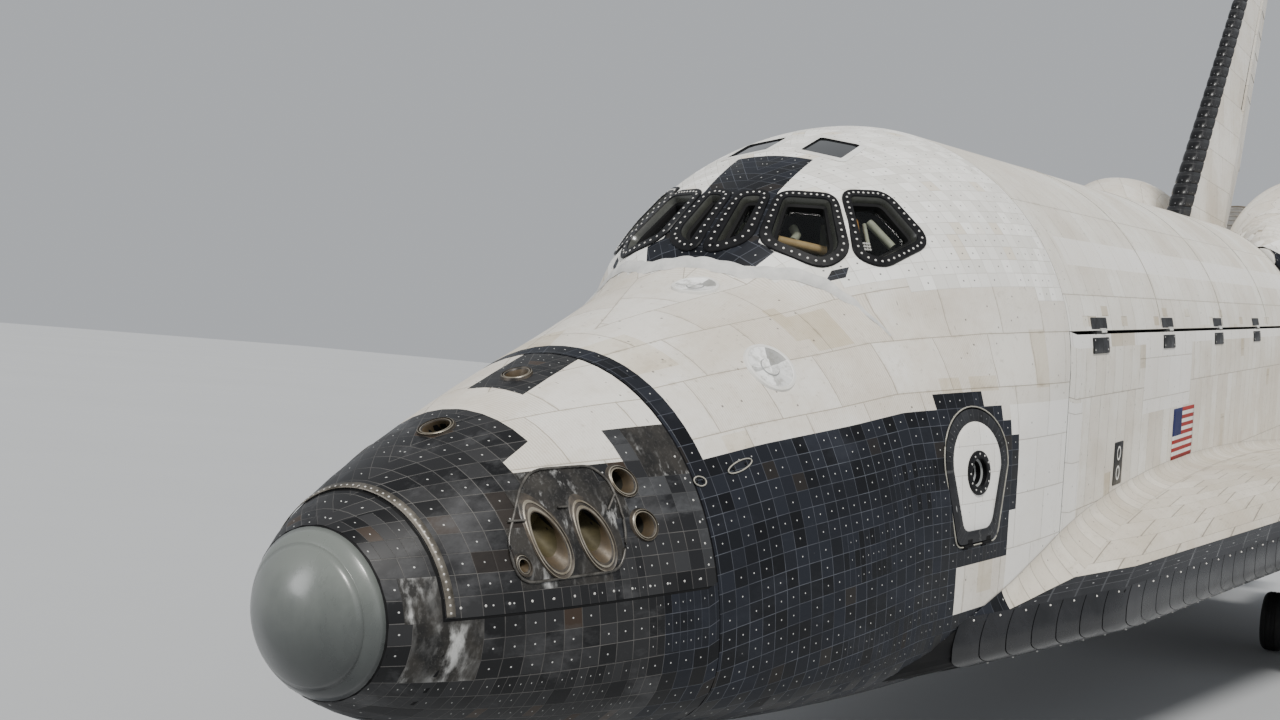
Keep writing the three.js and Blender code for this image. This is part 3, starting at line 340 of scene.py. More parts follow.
def core_material():
    """The mid fuselage: dark under its skin, as painted shade for the gaps where it shows, and pale round the
    bay.
    """
    s = Shader("bay_walls", (0.5, 0.5, 0.5), 0.7)
    place = s.place()
    lean = (math.sin(PARK_TILT), math.cos(PARK_TILT))
    below = SHIFT[1] * lean[0] - SHIFT[2] * lean[1] - BAY_AXIS_Z
    height = s.math("ADD", s.vector("DOT_PRODUCT", place, (0, -lean[0], lean[1]), 1), below)
    flat = s.add("CombineXYZ", {0: s.split(place)[0], 1: height})
    reach = s.vector("LENGTH", flat, (0, 0, 0), 1)
    inner = s.ramp(s.math("MULTIPLY", reach, 0.2), (0.485, 1), (0.49, 0))
    pale = s.mix(s.noise(place, 1.2, 5, 0.6), (0.42, 0.44, 0.38), (0.62, 0.62, 0.57))
    # Painted shade outside the bay, where the solid shows only through gaps in the skin.
    return s.finish(s.mix(inner, (0.006, 0.006, 0.006), pale), None, s.noise(place, 30), 0.003, 0.3)


STREAKED = streaked_material("streaked_plate", (13.0, 13.0, 1.5), 4, 0.53)
MARBLED = streaked_material("marbled_tile", (4.0, 9.0, 4.0), 10, 0.46)
PLAIN_DARK, PLAIN_LIGHT, PLAIN_GAP = (0.0035, 0.0037, 0.0045), (0.016, 0.017, 0.020), (0.06, 0.06, 0.065)
# The bluish tint of these black tiles is partly painted reflection of the sky.
BLACK_TILE = tile_material("black_tile", (0.0018, 0.0021, 0.0033), (0.010, 0.012, 0.018),
                           (0.085, 0.092, 0.11), (0.55, 0.55, 0.53), odd=(0.014, 0.012, 0.011), gloss=0.22,
                           gap_width=0.018, halves=0.22)
# The strong rubbed streaks of these nose tiles are partly painted highlights of lit tiles.
NOSE_TILE = tile_material("nose_tile", (0.0030, 0.0030, 0.0036), (0.020, 0.020, 0.021),
                          (0.105, 0.10, 0.094), (0.55, 0.55, 0.53), odd=(0.030, 0.019, 0.012), scuff_and_sheen=0.95,
                          gap_width=0.018, halves=0.25)
DEEP_TILE = tile_material("deep_black_tile", (0.0015, 0.0015, 0.002), (0.004, 0.004, 0.005),
                          (0.03, 0.03, 0.03), (0.2, 0.2, 0.2), rough=0.5, scuff_and_sheen=0.1)
SCUFFED_TILE = tile_material("scuffed_tile", (0.006, 0.006, 0.007), (0.034, 0.035, 0.037),
                             (0.05, 0.05, 0.05), (0.5, 0.5, 0.48), rough=0.4, scuff_and_sheen=0.9, gloss=0.4,
                             gap_width=0.02)
BROWN_TILE = tile_material("brown_tile", (0.008, 0.006, 0.005), (0.022, 0.016, 0.012),
                           (0.04, 0.036, 0.032), (0.35, 0.35, 0.33), scuff_and_sheen=0.2)
GLOSS_TILE = tile_material("glossy_black_tile", (0.002, 0.002, 0.0025), (0.009, 0.009, 0.011),
                           (0.045, 0.046, 0.05), (0.4, 0.4, 0.4), rough=0.22, scuff_and_sheen=0.3, gloss=0.6)
WHITE_TILE = tile_material("white_tile", (0.66, 0.645, 0.60), (0.80, 0.79, 0.755), (0.40, 0.37, 0.32),
                           (0.09, 0.085, 0.08), odd=(0.66, 0.61, 0.52), rough=0.6, scuff_and_sheen=0.1,
                           gap_width=0.014, plug_size=0.045)
SIDE_TILE = tile_material("side_black_tile", PLAIN_DARK, PLAIN_LIGHT, PLAIN_GAP, (0.4, 0.4, 0.4), flat="yz")
BELLY_TILE = tile_material("belly_black_tile", PLAIN_DARK, PLAIN_LIGHT, PLAIN_GAP, (0.4, 0.4, 0.4),
                           flat="xy")
BASE_TILE = tile_material("base_black_tile", (0.004, 0.004, 0.005), (0.018, 0.018, 0.019),
                          (0.07, 0.07, 0.07), (0.3, 0.3, 0.3), odd=(0.03, 0.022, 0.016), flat="xz")
HATCH_TILE = tile_material("hatch_ring_tile", (0.004, 0.004, 0.005), (0.016, 0.017, 0.02),
                           (0.06, 0.06, 0.06), (0.3, 0.3, 0.3))
FIN_EDGE = tile_material("fin_edge_tile", (0.003, 0.003, 0.0035), (0.012, 0.012, 0.013),
                         (0.03, 0.03, 0.03), (0.2, 0.2, 0.2), rough=0.35)
BLANKET = blanket_material("white_blanket", (0.80, 0.78, 0.73), (0.50, 0.42, 0.31), (0.30, 0.26, 0.2))
CLEAN_BLANKET = blanket_material("clean_blanket", (0.86, 0.85, 0.82), (0.66, 0.60, 0.50),
                                 (0.40, 0.37, 0.32), stain=0.28)
DOOR_BLANKET = blanket_material("door_blanket", (0.78, 0.765, 0.71), (0.54, 0.47, 0.37),
                                (0.34, 0.30, 0.24), panel=(4.0, 8.0), ribs=0.3)
TALL_BLANKET = blanket_material("tall_blanket", (0.79, 0.77, 0.71), (0.52, 0.45, 0.35),
                                (0.28, 0.24, 0.19), panel=(2.9, 8.3), stain=0.55, ribs=0.3)
GLOVE_BLANKET = blanket_material("glove_blanket", (0.68, 0.64, 0.56), (0.46, 0.40, 0.31),
                                 (0.20, 0.175, 0.14), panel=(2.0, 5.0), stain=0.6, ribs=0.25)
PATCH_BLANKET = blanket_material("patch_blanket", (0.76, 0.72, 0.63), (0.48, 0.40, 0.28),
                                 (0.26, 0.22, 0.16), stain=0.75)
SIDE_BLANKET = blanket_material("side_blanket", (0.80, 0.78, 0.73), (0.52, 0.45, 0.35),
                                (0.3, 0.26, 0.2), (7, 5), ribs=0.3, flat="yz")
NOSE_CARBON = cap_material()
TRACKER = dish_material()
BAY_WALLS = core_material()
GLASS = Shader("window_glass", (0.004, 0.005, 0.005), 0.03, 0.0, Alpha=0.25, Coat_Weight=0.5).mat
GLASS.surface_render_method = "BLENDED"
GLASS_DARK = Shader("dark_glass", (0.004, 0.005, 0.005), 0.06, 0.0, Coat_Weight=0.6).mat
WING_CARBON = worn_material("wing_carbon", (0.0025, 0.0028, 0.0035), (0.013, 0.013, 0.015), 0.26, 0.0, 2.2,
                            50, 0.001, Specular_IOR_Level=0.4, Coat_Weight=0.12, Coat_Roughness=0.15)
# Painted shade: a near black for gaps, holes and recesses, and for the solids under the skins, which show
# only through gaps.
DARK = worn_material("painted_gap_shade", (0.004, 0.004, 0.0045), (0.009, 0.009, 0.009), 0.7,
                     Specular_IOR_Level=0.15)
STEEL = worn_material("worn_steel", (0.42, 0.42, 0.41), (0.25, 0.24, 0.22), 0.35, 0.9, 5.0)
SCORCHED = worn_material("scorched_metal", (0.20, 0.17, 0.13), (0.085, 0.07, 0.05), 0.42, 0.65, 3.0)
BRIGHT_METAL = worn_material("bright_nozzle_metal", (0.50, 0.49, 0.47), (0.30, 0.27, 0.23), 0.3, 0.85, 2.0)
NOZZLE_INSIDE = worn_material("nozzle_inside", (0.10, 0.085, 0.07), (0.045, 0.04, 0.034), 0.6, 0.5, 1.2)
RIM = worn_material("nozzle_rim", (0.30, 0.275, 0.225), (0.13, 0.105, 0.07), 0.38, 0.5, 8.0)
RIM_DARK = worn_material("rim_base", (0.020, 0.018, 0.016), (0.085, 0.068, 0.05), 0.45, 0.3, 9.0)
RIM_BROWN = worn_material("rim_throat", (0.085, 0.06, 0.033), (0.04, 0.03, 0.018), 0.5, 0.2, 9.0)
CUP = worn_material("nozzle_cup", (0.070, 0.058, 0.027), (0.030, 0.025, 0.013), 0.6, 0.1, 6.0,
                    Specular_IOR_Level=0.2)
CUP_DARK = worn_material("small_nozzle_cup", (0.020, 0.018, 0.010), (0.006, 0.006, 0.005), 0.5, 0.1, 6.0)
STRIP_METAL = worn_material("seam_strip_metal", (0.055, 0.047, 0.035), (0.22, 0.20, 0.17), 0.4, 0.4, 5.0)
BEAD = worn_material("plate_bead", (0.022, 0.020, 0.018), (0.15, 0.14, 0.125), 0.35, 0.4, 7.0)
SEAL = worn_material("seal_bead", (0.42, 0.40, 0.34), (0.22, 0.21, 0.18), 0.6, 0.1, 9.0)
# Painted shade: the lip's grey stands in for the shade in the crease under the windscreen.
LIP_SHADE = worn_material("lip_painted_shade", (0.46, 0.46, 0.445), (0.64, 0.63, 0.60), 0.8, 0.0, 5.0, 60, 0.004)
POD_BLANKET = worn_material("pod_blanket", (0.76, 0.745, 0.70), (0.60, 0.56, 0.48), 0.75, 0.0, 1.2)
WHITE_PAINT = worn_material("white_paint", (0.74, 0.74, 0.71), (0.58, 0.56, 0.51), 0.5, 0.0, 2.5)
GREY_PAINT = worn_material("grey_paint", (0.30, 0.31, 0.31), (0.20, 0.20, 0.19), 0.55)
REVEAL = worn_material("window_reveal", (0.055, 0.057, 0.048), (0.018, 0.019, 0.017), 0.25)
FRAME_BLACK = worn_material("window_frame_black", (0.0015, 0.0015, 0.002), (0.006, 0.006, 0.007), 0.4, 0.0,
                            6.0, Specular_IOR_Level=0.2)
RIVET = worn_material("rivet_head", (0.62, 0.61, 0.58), (0.45, 0.43, 0.40), 0.4, 0.2, 9.0)
LINER = worn_material("bay_liner", (0.62, 0.62, 0.58), (0.45, 0.45, 0.42), 0.8, 0.0, 1.5)
CABIN_GREY = worn_material("cabin_grey", (0.16, 0.17, 0.155), (0.10, 0.105, 0.095), 0.6, 0.0, 4.0)
CABIN_PALE = worn_material("cabin_pale", (0.45, 0.48, 0.36), (0.28, 0.30, 0.22), 0.6, 0.0, 5.0)
CABIN_TAN = worn_material("cabin_tan", (0.52, 0.38, 0.17), (0.34, 0.23, 0.09), 0.6, 0.0, 5.0)
CABIN_ORANGE = worn_material("cabin_orange", (0.50, 0.24, 0.05), (0.33, 0.16, 0.04), 0.6, 0.0, 7.0)
RUBBER = worn_material("tyre_rubber", (0.014, 0.014, 0.015), (0.035, 0.035, 0.034), 0.75, 0.0, 6.0, 90)
RADIATOR = worn_material("radiator_silver", (0.66, 0.68, 0.70), (0.52, 0.54, 0.57), 0.18, 0.75, 0.6)
RED = worn_material("faded_red", (0.27, 0.012, 0.010), (0.24, 0.020, 0.016), 0.85)
BLUE = worn_material("faded_blue", (0.004, 0.008, 0.075), (0.008, 0.014, 0.07), 0.85)
STUDIO_GREY = worn_material("studio_floor", (0.43, 0.44, 0.45), (0.41, 0.42, 0.43), 0.9, 0, 0.05, 3, 0.0005)

# Making pieces


def add_object(name, verts, faces, mats, face_mats=None, uvs=None, body=BODY, merge=0.0, smooth=True):
    """A mesh piece. uvs has one pair for each vertex. The points are in vehicle axes."""
    mesh = bpy.data.meshes.new(name)
    mesh.from_pydata([tuple(v) for v in verts], [], [tuple(f) for f in faces])
    for mat in mats if isinstance(mats, (list, tuple)) else [mats]:
        mesh.materials.append(mat)
    if face_mats is not None:
        mesh.polygons.foreach_set("material_index", face_mats)
    if uvs is not None:
        layer = mesh.uv_layers.new(name="UVMap")
        loops = np.zeros(len(mesh.loops), dtype=np.int32)
        mesh.loops.foreach_get("vertex_index", loops)
        layer.data.foreach_set("uv", np.array(uvs, dtype=np.float32)[loops].ravel())
    mesh.transform(PLACE)
    obj = added(name, mesh, body)
    if merge:
        reshape(obj, lambda bm: bmesh.ops.remove_doubles(bm, verts=bm.verts, dist=merge), placed=True)
        reshape(obj, lambda bm: bmesh.ops.recalc_face_normals(bm, faces=bm.faces), placed=True)
    mesh.polygons.foreach_set("use_smooth", [smooth] * len(mesh.polygons))
    mesh.update()
    return obj


def added(name, data, body=None):
    """A new object with some data, which rides on a body if one is named."""
    obj = bpy.data.objects.new(name, data)
    bpy.context.scene.collection.objects.link(obj)
    if body:
        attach(obj, body)
    return obj


def reshape(obj, change, placed=False):
    """Runs change on the object's mesh, which is turned to vehicle axes for that unless placed."""
    bm = bmesh.new()
    bm.from_mesh(obj.data)
    if not placed:
        bm.transform(PLACE.inverted())
    change(bm)
    if not placed:
        bm.transform(PLACE)
    bm.to_mesh(obj.data)
    bm.free()
    return obj


def applied(obj):
    """Bakes the object's modifiers into its mesh."""
    bpy.context.view_layer.update()
    graph = bpy.context.evaluated_depsgraph_get()
    mesh = bpy.data.meshes.new_from_object(obj.evaluated_get(graph))
    obj.modifiers.clear()
    old = obj.data
    obj.data = mesh
    bpy.data.meshes.remove(old)
    return obj


def cut_out(obj, cutters):
    """Takes the cutters' shapes out of the object, and removes them."""
    for shape in cutters:
        mod = obj.modifiers.new("cut", "BOOLEAN")
        mod.operation = "DIFFERENCE"
        mod.solver = "EXACT"
        mod.object = shape
    applied(obj)
    drop(*cutters)


def thicken(obj, depth, offset=-1.0):
    """Gives a sheet a depth, inward at an offset of -1 and outward at 1."""
    mod = obj.modifiers.new("thick", "SOLIDIFY")
    mod.thickness = depth
    mod.offset = offset
    return applied(obj)


def sharpen(obj, angle=40):
    """Smooth shading that keeps edges sharper than the angle."""
    obj.data.set_sharp_from_angle(angle=math.radians(angle))
    return obj


def drop(*objects):
    for obj in objects:
        bpy.data.objects.remove(obj, do_unlink=True)


def grid_faces(rows, columns, closed=False):
    faces = []
    for i in range(rows - 1):
        for j in range(columns if closed else columns - 1):
            k = (j + 1) % columns
            faces.append((i * columns + j, i * columns + k, (i + 1) * columns + k, (i + 1) * columns + j))
    return faces


def loft(name, rings, mats, uvs=None, face_mat=None, body=BODY, sharp=None, smooth=True):
    """A skin over rings of equally many points, closed round each ring and at both ends."""
    count = len(rings[0])
    verts = [p for ring in rings for p in ring]
    faces = grid_faces(len(rings), count, closed=True)
    faces += [tuple(range(count))[::-1], tuple(range(len(verts) - count, len(verts)))]
    picks = [face_mat(*np.mean([verts[v] for v in f], axis=0)) for f in faces] if face_mat else None
    obj = add_object(name, verts, faces, mats, picks, uvs, body, MERGE, smooth)
    return sharpen(obj, sharp) if sharp else obj


def ring_mesh(name, rings, mats, picks=None, body=BODY, uvs=None, closed=True, sharp=40):
    """Strips between rings of points, one material for each strip."""
    count = len(rings[0])
    faces = grid_faces(len(rings), count, closed=closed)
    each = count if closed else count - 1
    face_mats = [picks[i // each] for i in range(len(faces))] if picks else None
    verts = [p for ring in rings for p in ring]
    return sharpen(add_object(name, verts, faces, mats, face_mats, uvs, body, MERGE), sharp)


def cutter(name, outline, axis, low, high):
    """A flat outline pushed out along an axis. The outline's two numbers are the other two axes in order."""
    k = "xyz".index(axis)
    rings = [[(*p[:k], d, *p[k:]) for p in outline] for d in (low, high)]
    return loft(name, rings, DARK, body=None, smooth=False)


def frame_of(direction):
    """A direction as a unit vector, and two unit vectors across it."""
    way = Vector(direction).normalized()
    side = way.cross(Vector((0, 0, 1)) if abs(way.z) < 0.9 else Vector((0, 1, 0))).normalized()
    return way, side, side.cross(way)


def across(direction, angle, radius=1.0):
    """The step across a direction at an angle about it."""
    _, side, up = frame_of(direction)
    return side * (radius * math.cos(angle)) + up * (radius * math.sin(angle))


def circle(count, first=0.0):
    """Angles in equal steps round a circle."""
    return [2 * math.pi * (k + first) / count for k in range(count)]


def circle_points(centre, direction, radius, count):
    """Points round a circle across a direction."""
    _, side, up = frame_of(direction)
    return [centre + side * (radius * math.cos(a)) + up * (radius * math.sin(a)) for a in circle(count)]


def turned(name, profile, origin, direction, mats, sides, body, kinds=None):
    """A profile of (radius, distance) points turned about an axis: with kinds an open piece, which has one
    material for each step of the profile, and without them a closed cutter."""
    way = frame_of(direction)[0]
    rings = [circle_points(Vector(origin) + way * d, direction, max(r, 1e-4), sides) for r, d in profile]
    uvs = [(24 * k / sides, d / TILE) for _, d in profile for k in range(sides)]
    if kinds:
        return ring_mesh(name, rings, mats, kinds, body, uvs, sharp=35)
    return loft(name, rings, mats, uvs, body=body, sharp=35)


def tube(name, points, radius, mats, sides, body=None):
    """A round bar along a run of points."""
    points = [Vector(p) for p in points]
    ends = list(zip([points[0], *points[:-1]], [*points[1:], points[-1]]))
    rings = [circle_points(p, after - before, radius, sides) for p, (before, after) in zip(points, ends)]
    return loft(name, rings, mats, body=body, sharp=50)


def hoop(centre, way, radius, thick, mat, sides=64):
    """A ring bar about an axis."""
    rings = []
    along = Vector(way).normalized() * thick
    for a in [*circle(sides), 2 * math.pi]:
        out = across(way, a)
        rings.append([centre + out * (radius + thick * math.cos(b)) + along * math.sin(b) for b in circle(8)])
    return ring_mesh("hoop", rings, [mat], body=None, sharp=60)


def domes(name, places, radius, mats, body=BODY, height=0.5, sides=8):
    """Small round heads: (point, outward way) pairs."""
    verts, faces = [], []
    for at, way in places:
        base = len(verts)
        for r, h in ((1, 0), (0.85, height * 0.6), (0.4, height)):
            verts += circle_points(at + way * (h * radius), way, r * radius, sides)
        faces += [tuple(base + v for v in face) for face in grid_faces(3, sides, closed=True)]
        faces.append(tuple(base + 2 * sides + k for k in range(sides)))
    return add_object(name, verts, faces, mats, body=body)


def fan(outline, middle, mats):
    """A loose pane: triangles from its outline to its middle."""
    count = len(outline)
    faces = [(i, (i + 1) % count, count) for i in range(count)]
    return add_object("pane", [*outline, middle], faces, mats, body=None)


def joined(name, objects, body=BODY):
    """One piece from several, keeping their materials."""
    bm = bmesh.new()
    mats = []
    for obj in objects:
        mesh = obj.data
        remap = []
        for mat in mesh.materials:
            if mat not in mats:
                mats.append(mat)
            remap.append(mats.index(mat))
        start = len(bm.faces)
        bm.from_mesh(mesh)
        bm.faces.ensure_lookup_table()
        for face in bm.faces[start:]:
            face.material_index = remap[face.material_index] if remap else 0
    mesh = bpy.data.meshes.new(name)
    bm.to_mesh(mesh)
    bm.free()
    for mat in mats:
        mesh.materials.append(mat)
    drop(*objects)
    return added(name, mesh, body)


def mirrored(obj, name, body=BODY):
    """The same piece on the other side of the vehicle."""
    twin = added(name, obj.data.copy(), body)
    twin.data.transform(Matrix.Scale(-1, 4, (1, 0, 0)))
    twin.data.flip_normals()
    return twin


def side_names(stem=""):
    """The two sides as a sign and a name, which begins with the stem."""
    return [(1, f"{stem}left"), (-1, f"{stem}right")]


def cad(node):
    return bpy.data.objects[node]


def cad_tree(*nodes):
    """CAD nodes for rays in vehicle axes."""
    verts, faces = [], []
    for node in nodes:
        obj = cad(node)
        turn = PLACE.inverted() @ obj.matrix_world
        faces += [tuple(v + len(verts) for v in f.vertices) for f in obj.data.polygons]
        verts += [turn @ v.co for v in obj.data.vertices]
    return BVHTree.FromPolygons(verts, faces)


def paint_cad(mat, *nodes):
    """Gives CAD nodes a material in place of their own."""
    for node in nodes:
        for slot in cad(node).material_slots:
            slot.material = mat


# The fuselage's own surface


class Curve:
    """Smooth curves over rising places through columns of values, without overshooting them."""

    def __init__(self, places, columns):
        self.places, self.columns = np.array(places), [np.array(values) for values in columns]
        self.slopes = [self.slopes_of(values) for values in self.columns]

    def slopes_of(self, values):
        steps = np.diff(values) / np.diff(self.places)
        slopes = np.zeros(len(values))
        slopes[0], slopes[-1] = steps[0], steps[-1]
        for i in range(1, len(values) - 1):
            a, b = steps[i - 1], steps[i]
            slopes[i] = 0.0 if a * b <= 0 else 2 * a * b / (a + b)
        return slopes

    def at(self, place):
        i = int(clamp(np.searchsorted(self.places, place) - 1, 0, len(self.places) - 2))
        span = self.places[i + 1] - self.places[i]
        s = (place - self.places[i]) / span
        h = (2 * s**3 - 3 * s**2 + 1, s**3 - 2 * s**2 + s, 3 * s**2 - 2 * s**3, s**3 - s**2)
        return [float(h[0] * v[i] + h[1] * span * m[i] + h[2] * v[i + 1] + h[3] * span * m[i + 1])
                for v, m in zip(self.columns, self.slopes)]


FORM = Curve(np.sqrt(SECTIONS[:, 0]), SECTIONS[:, 1:].T)


def section(y):
    """Half width, bottom, widest height, top and the two roundnesses at a station."""
    return FORM.at(math.sqrt(clamp(y, 0, BODY_END)))


def body_radius(y, angles, inset=0.0):
    """The fuselage's radii at a station, from the middle of its widest height."""
    w, bottom, wide, top, nu, nl = section(y)
    c, s = np.cos(angles), np.sin(angles)
    n = np.where(s > 0, nu, nl)
    tall = np.where(s > 0, top - wide, wide - bottom) - inset
    body = (np.abs(c / (w - inset)) ** n + np.abs(s / tall) ** n) ** (-1 / n)
    ahead = max(0.0, BAY_FRONT - y) / CANOPY_REACH
    if ahead >= 1:
        return body
    reach = BAY_RADIUS * math.sqrt(1 - ahead**CANOPY_POWER) - inset
    rise = BAY_AXIS_Z - wide
    inside = (s * rise) ** 2 - rise**2 + reach**2
    canopy = np.where(inside > 0, s * rise + np.sqrt(np.maximum(inside, 0)), 0)
    return np.maximum(body, canopy * (1 - 0.04 * clamp((y - BAY_BACK) / 2)))


def radius_at(y, angle):
    return float(body_radius(y, np.array([angle]))[0])


def body_ring(y, turn, radii):
    """A station's points at some angles and radii."""
    wide = section(y)[2]
    return [Vector((a, y, wide + b)) for a, b in zip(radii * np.cos(turn), radii * np.sin(turn))]


HALF_TURN = np.radians(np.linspace(-90, 90, 361))

CORE = cad_tree("forward_fuselage", "forward_thruster_module", "mid_fuselage", "aft_fuselage")
CORE_REACH = 0.07  # the skin is moved out by this much at most, to cover the flat facets under it
EVEN_RUN = (8.95, 27.1)  # the stations of one section, where nothing is moved


def near_hinge(y, z):
    """Whether a point is near the hatch's hinge, whose knuckles come through the skin."""
    return abs(y - HATCH_HINGE[0]) < 0.4 and abs(z - HATCH_HINGE[1]) < 0.08


def reached(y, angles, inset=0.0, slant=0.0):
    """The radii of the skin, which stays 4 mm clear of the facets under it."""
    radii, wide = body_radius(y, angles, inset), section(y)[2]
    if EVEN_RUN[0] < y < EVEN_RUN[1]:
        return radii
    for k, angle in enumerate(angles):
        c, s, r = math.cos(angle), math.sin(angle), radii[k]
        height = wide + r * s
        if height < 0.05 or near_hinge(y, height):
            continue
        outer, inner = ((d * c, y - slant * (wide + d * s), wide + d * s) for d in (r + 0.2, r - 0.1))
        ray = Vector(inner) - Vector(outer)
        found, _, _, distance = CORE.ray_cast(outer, ray, ray.length)
        if found and distance > 0.1:
            radii[k] = max(r, min(r + CORE_REACH, r + 0.2 - distance + CLEAR))
    return radii


# Tile rows keep this far above the base line, so that they follow the black and white border.
ROW_SHIFT = [(2.959, 0.0), (2.961, 0.08), (3.84, 0.19), (4.98, 0.29), (5.72, 0.37), (BAY_FRONT, 0.37),
             (8.91, 0.0)]


class Station:
    """The port half of a section, by its length along the skin from the base line of the tile rows."""

    def __init__(self, y, inset=0.0, slant=0.0):
        self.u = y
        r = reached(y, HALF_TURN, inset, slant)
        self.x, self.z = r * np.cos(HALF_TURN), section(y)[2] + r * np.sin(HALF_TURN)
        self.y = y - slant * self.z
        arc = np.concatenate([[0], np.cumsum(np.hypot(np.diff(self.x), np.diff(self.z)))])
        rise = np.arange(len(arc))
        start = float(np.interp(min(BASE_LINE_Z, self.z[-1] * 0.8), self.z[rise], arc))
        self.arc = arc - start - table(y, ROW_SHIFT)
        self.low, self.high = float(self.arc[0]), float(self.arc[-1])

    def at(self, v):
        v = clamp(v, self.low, self.high)
        return tuple(float(np.interp(v, self.arc, values)) for values in (self.x, self.y, self.z))

    def length_at(self, z):
        return float(np.interp(z, self.z, self.arc))


def sheet(name, cuts, mats, zone, step=TILE, low=-99.0, high=99.0, sides=(1, -1), body=BODY):
    """A skin over cuts, in a grid whose rows lie at equal lengths along each cut. A cut has its place u, its
    lowest and highest length, and gives the point at a length. zone picks a material's place in mats for
    (side, u, length, x, z), or None for no face. Faces on the other side are mirrored."""
    first = math.floor(max(low, min(c.low for c in cuts)) / step)
    last = math.ceil(min(high, max(c.high for c in cuts)) / step)
    rows = [clamp(j * step, low, high) for j in range(first, last + 1)]
    verts, uvs, faces, picks = [], [], [], []
    for side in sides:
        base = len(verts)
        for c in cuts:
            for v in rows:
                x, y, z = c.at(v)
                verts.append((side * x, y, z))
                uvs.append((c.u / TILE, clamp(v, c.low, c.high) / TILE))
        for i, pair in enumerate(zip(cuts, cuts[1:])):
            for j, (v0, v1) in enumerate(zip(rows, rows[1:])):
                if max(clamp(v1, c.low, c.high) - clamp(v0, c.low, c.high) for c in pair) < 1e-6:
                    continue
                x, _, z = pair[0].at((v0 + v1) / 2)
                pick = zone(side, (pair[0].u + pair[1].u) / 2, (v0 + v1) / 2, x, z)
                if pick is None:
                    continue
                a, b = base + i * len(rows) + j, base + (i + 1) * len(rows) + j
                faces.append((a, b, b + 1, a + 1) if side > 0 else (a, a + 1, b + 1, b))
                picks.append(pick)

    def clean(bm):
        bmesh.ops.remove_doubles(bm, verts=bm.verts, dist=1e-4)
        bmesh.ops.dissolve_degenerate(bm, edges=bm.edges, dist=1e-5)

    return reshape(add_object(name, verts, faces, mats, picks, uvs, body), clean, placed=True)


def lifted(obj, tree, clear=CLEAR, reach=0.06, skip=None):
    """Moves a sheet out wherever the CAD core under it would come within a distance of its faces."""

    def lift(bm):
        for _ in range(3):
            bm.normal_update()
            short = {}
            spots = [(f.calc_center_median(), f.normal, f.verts) for f in bm.faces]
            for edge in bm.edges:
                a, b = edge.verts
                spots.append(((a.co + b.co) / 2, (a.normal + b.normal).normalized(), edge.verts))
            spots += [(v.co.copy(), v.normal, [v]) for v in bm.verts]
            for at, way, verts in spots:
                if skip and skip(at):
                    continue
                found, _, _, distance = tree.ray_cast(at + way * reach, -way, reach + clear)
                if found and distance > 1e-4:
                    need = reach + clear - distance
                    for vert in verts:
                        short[vert] = max(short.get(vert, 0.0), need)
            for vert, move in [(vert, vert.normal * need) for vert, need in short.items()]:
                vert.co += move

    return reshape(obj, lift)


def skin(name, stations, mats, zone, slants=None, **rest):
    """The fuselage's skin over some stations."""
    cuts = [Station(y, -PROUD, slants[i] if slants else 0.0) for i, y in enumerate(stations)]
    shifted = lambda side, y, v, x, z: zone(side, y, v + table(y, ROW_SHIFT), x, z)
    skip = lambda at: near_hinge(at.y, at.z) or at.z < 0.03
    return lifted(sheet(name, cuts, mats, shifted, **rest), CORE, skip=skip)


def cut_planes(bm, low, high, axes):
    """Cuts a mesh along the faces of a box that lie across some axes."""
    for axis in axes:
        way = Vector([float(k == axis) for k in range(3)])
        for place in (low[axis], high[axis]):
            everything = [*bm.verts, *bm.edges, *bm.faces]
            bmesh.ops.bisect_plane(bm, geom=everything, plane_co=way * place, plane_no=way, dist=1e-5)
    return [f for f in bm.faces if all(a < c < b for a, c, b in zip(low, f.calc_center_median(), high))]


def trim(obj, low, high):
    """Cuts a box out of a sheet. The corners are in vehicle axes."""
    reshape(obj, lambda bm: bmesh.ops.delete(bm, geom=cut_planes(bm, low, high, (0, 1)), context="FACES"))


def paint_box(obj, low, high, pick):
    """Cuts a sheet along the faces of a box and gives what is inside a material."""

    def change(bm):
        for face in cut_planes(bm, low, high, (0, 1, 2)):
            face.material_index = pick

    reshape(obj, change)


def paint(obj, outline, pick):
    """Cuts a sheet along an outline of directions from the canopy's centre and gives what is inside a
    material."""
    ways = [canopy_way(*corner) for corner in outline]
    middle = sum(ways, Vector()).normalized()
    planes = [a.cross(b).normalized() for a, b in zip(ways, ways[1:] + ways[:1])]
    planes = [p if p.dot(middle) > 0 else -p for p in planes]

    def change(bm):
        for plane in planes:
            near = [f for f in bm.faces if (f.calc_center_median() - CENTRE).normalized().dot(middle) > 0.6]
            geometry = {g for f in near for g in (*f.verts, *f.edges)} | set(near)
            bmesh.ops.bisect_plane(bm, geom=list(geometry), plane_co=CENTRE, plane_no=plane, dist=1e-5)
        for face in bm.faces:
            way = face.calc_center_median() - CENTRE
            if all(way.dot(plane) > -1e-4 for plane in planes) and way.dot(middle) > 0:
                face.material_index = pick

    reshape(obj, change)


def steps(start, end, size):
    count = max(1, round((end - start) / size))
    return [lerp(start, end, i / count) for i in range(count + 1)]


def tile_steps(start, end, size=TILE):
    """Stations on the tile lines between start and end, with both ends."""
    inner = [k * size for k in range(math.ceil(start / size + 0.05), math.floor(end / size - 0.05) + 1)]
    return [start, *inner, end]


def inside(point, outline):
    """Whether a point of the plane lies inside a closed outline."""
    x, y = point
    odd = False
    for (x0, y0), (x1, y1) in zip(outline, outline[1:] + outline[:1]):
        if (y0 > y) != (y1 > y) and x < x0 + (y - y0) / (y1 - y0) * (x1 - x0):
            odd = not odd
    return odd


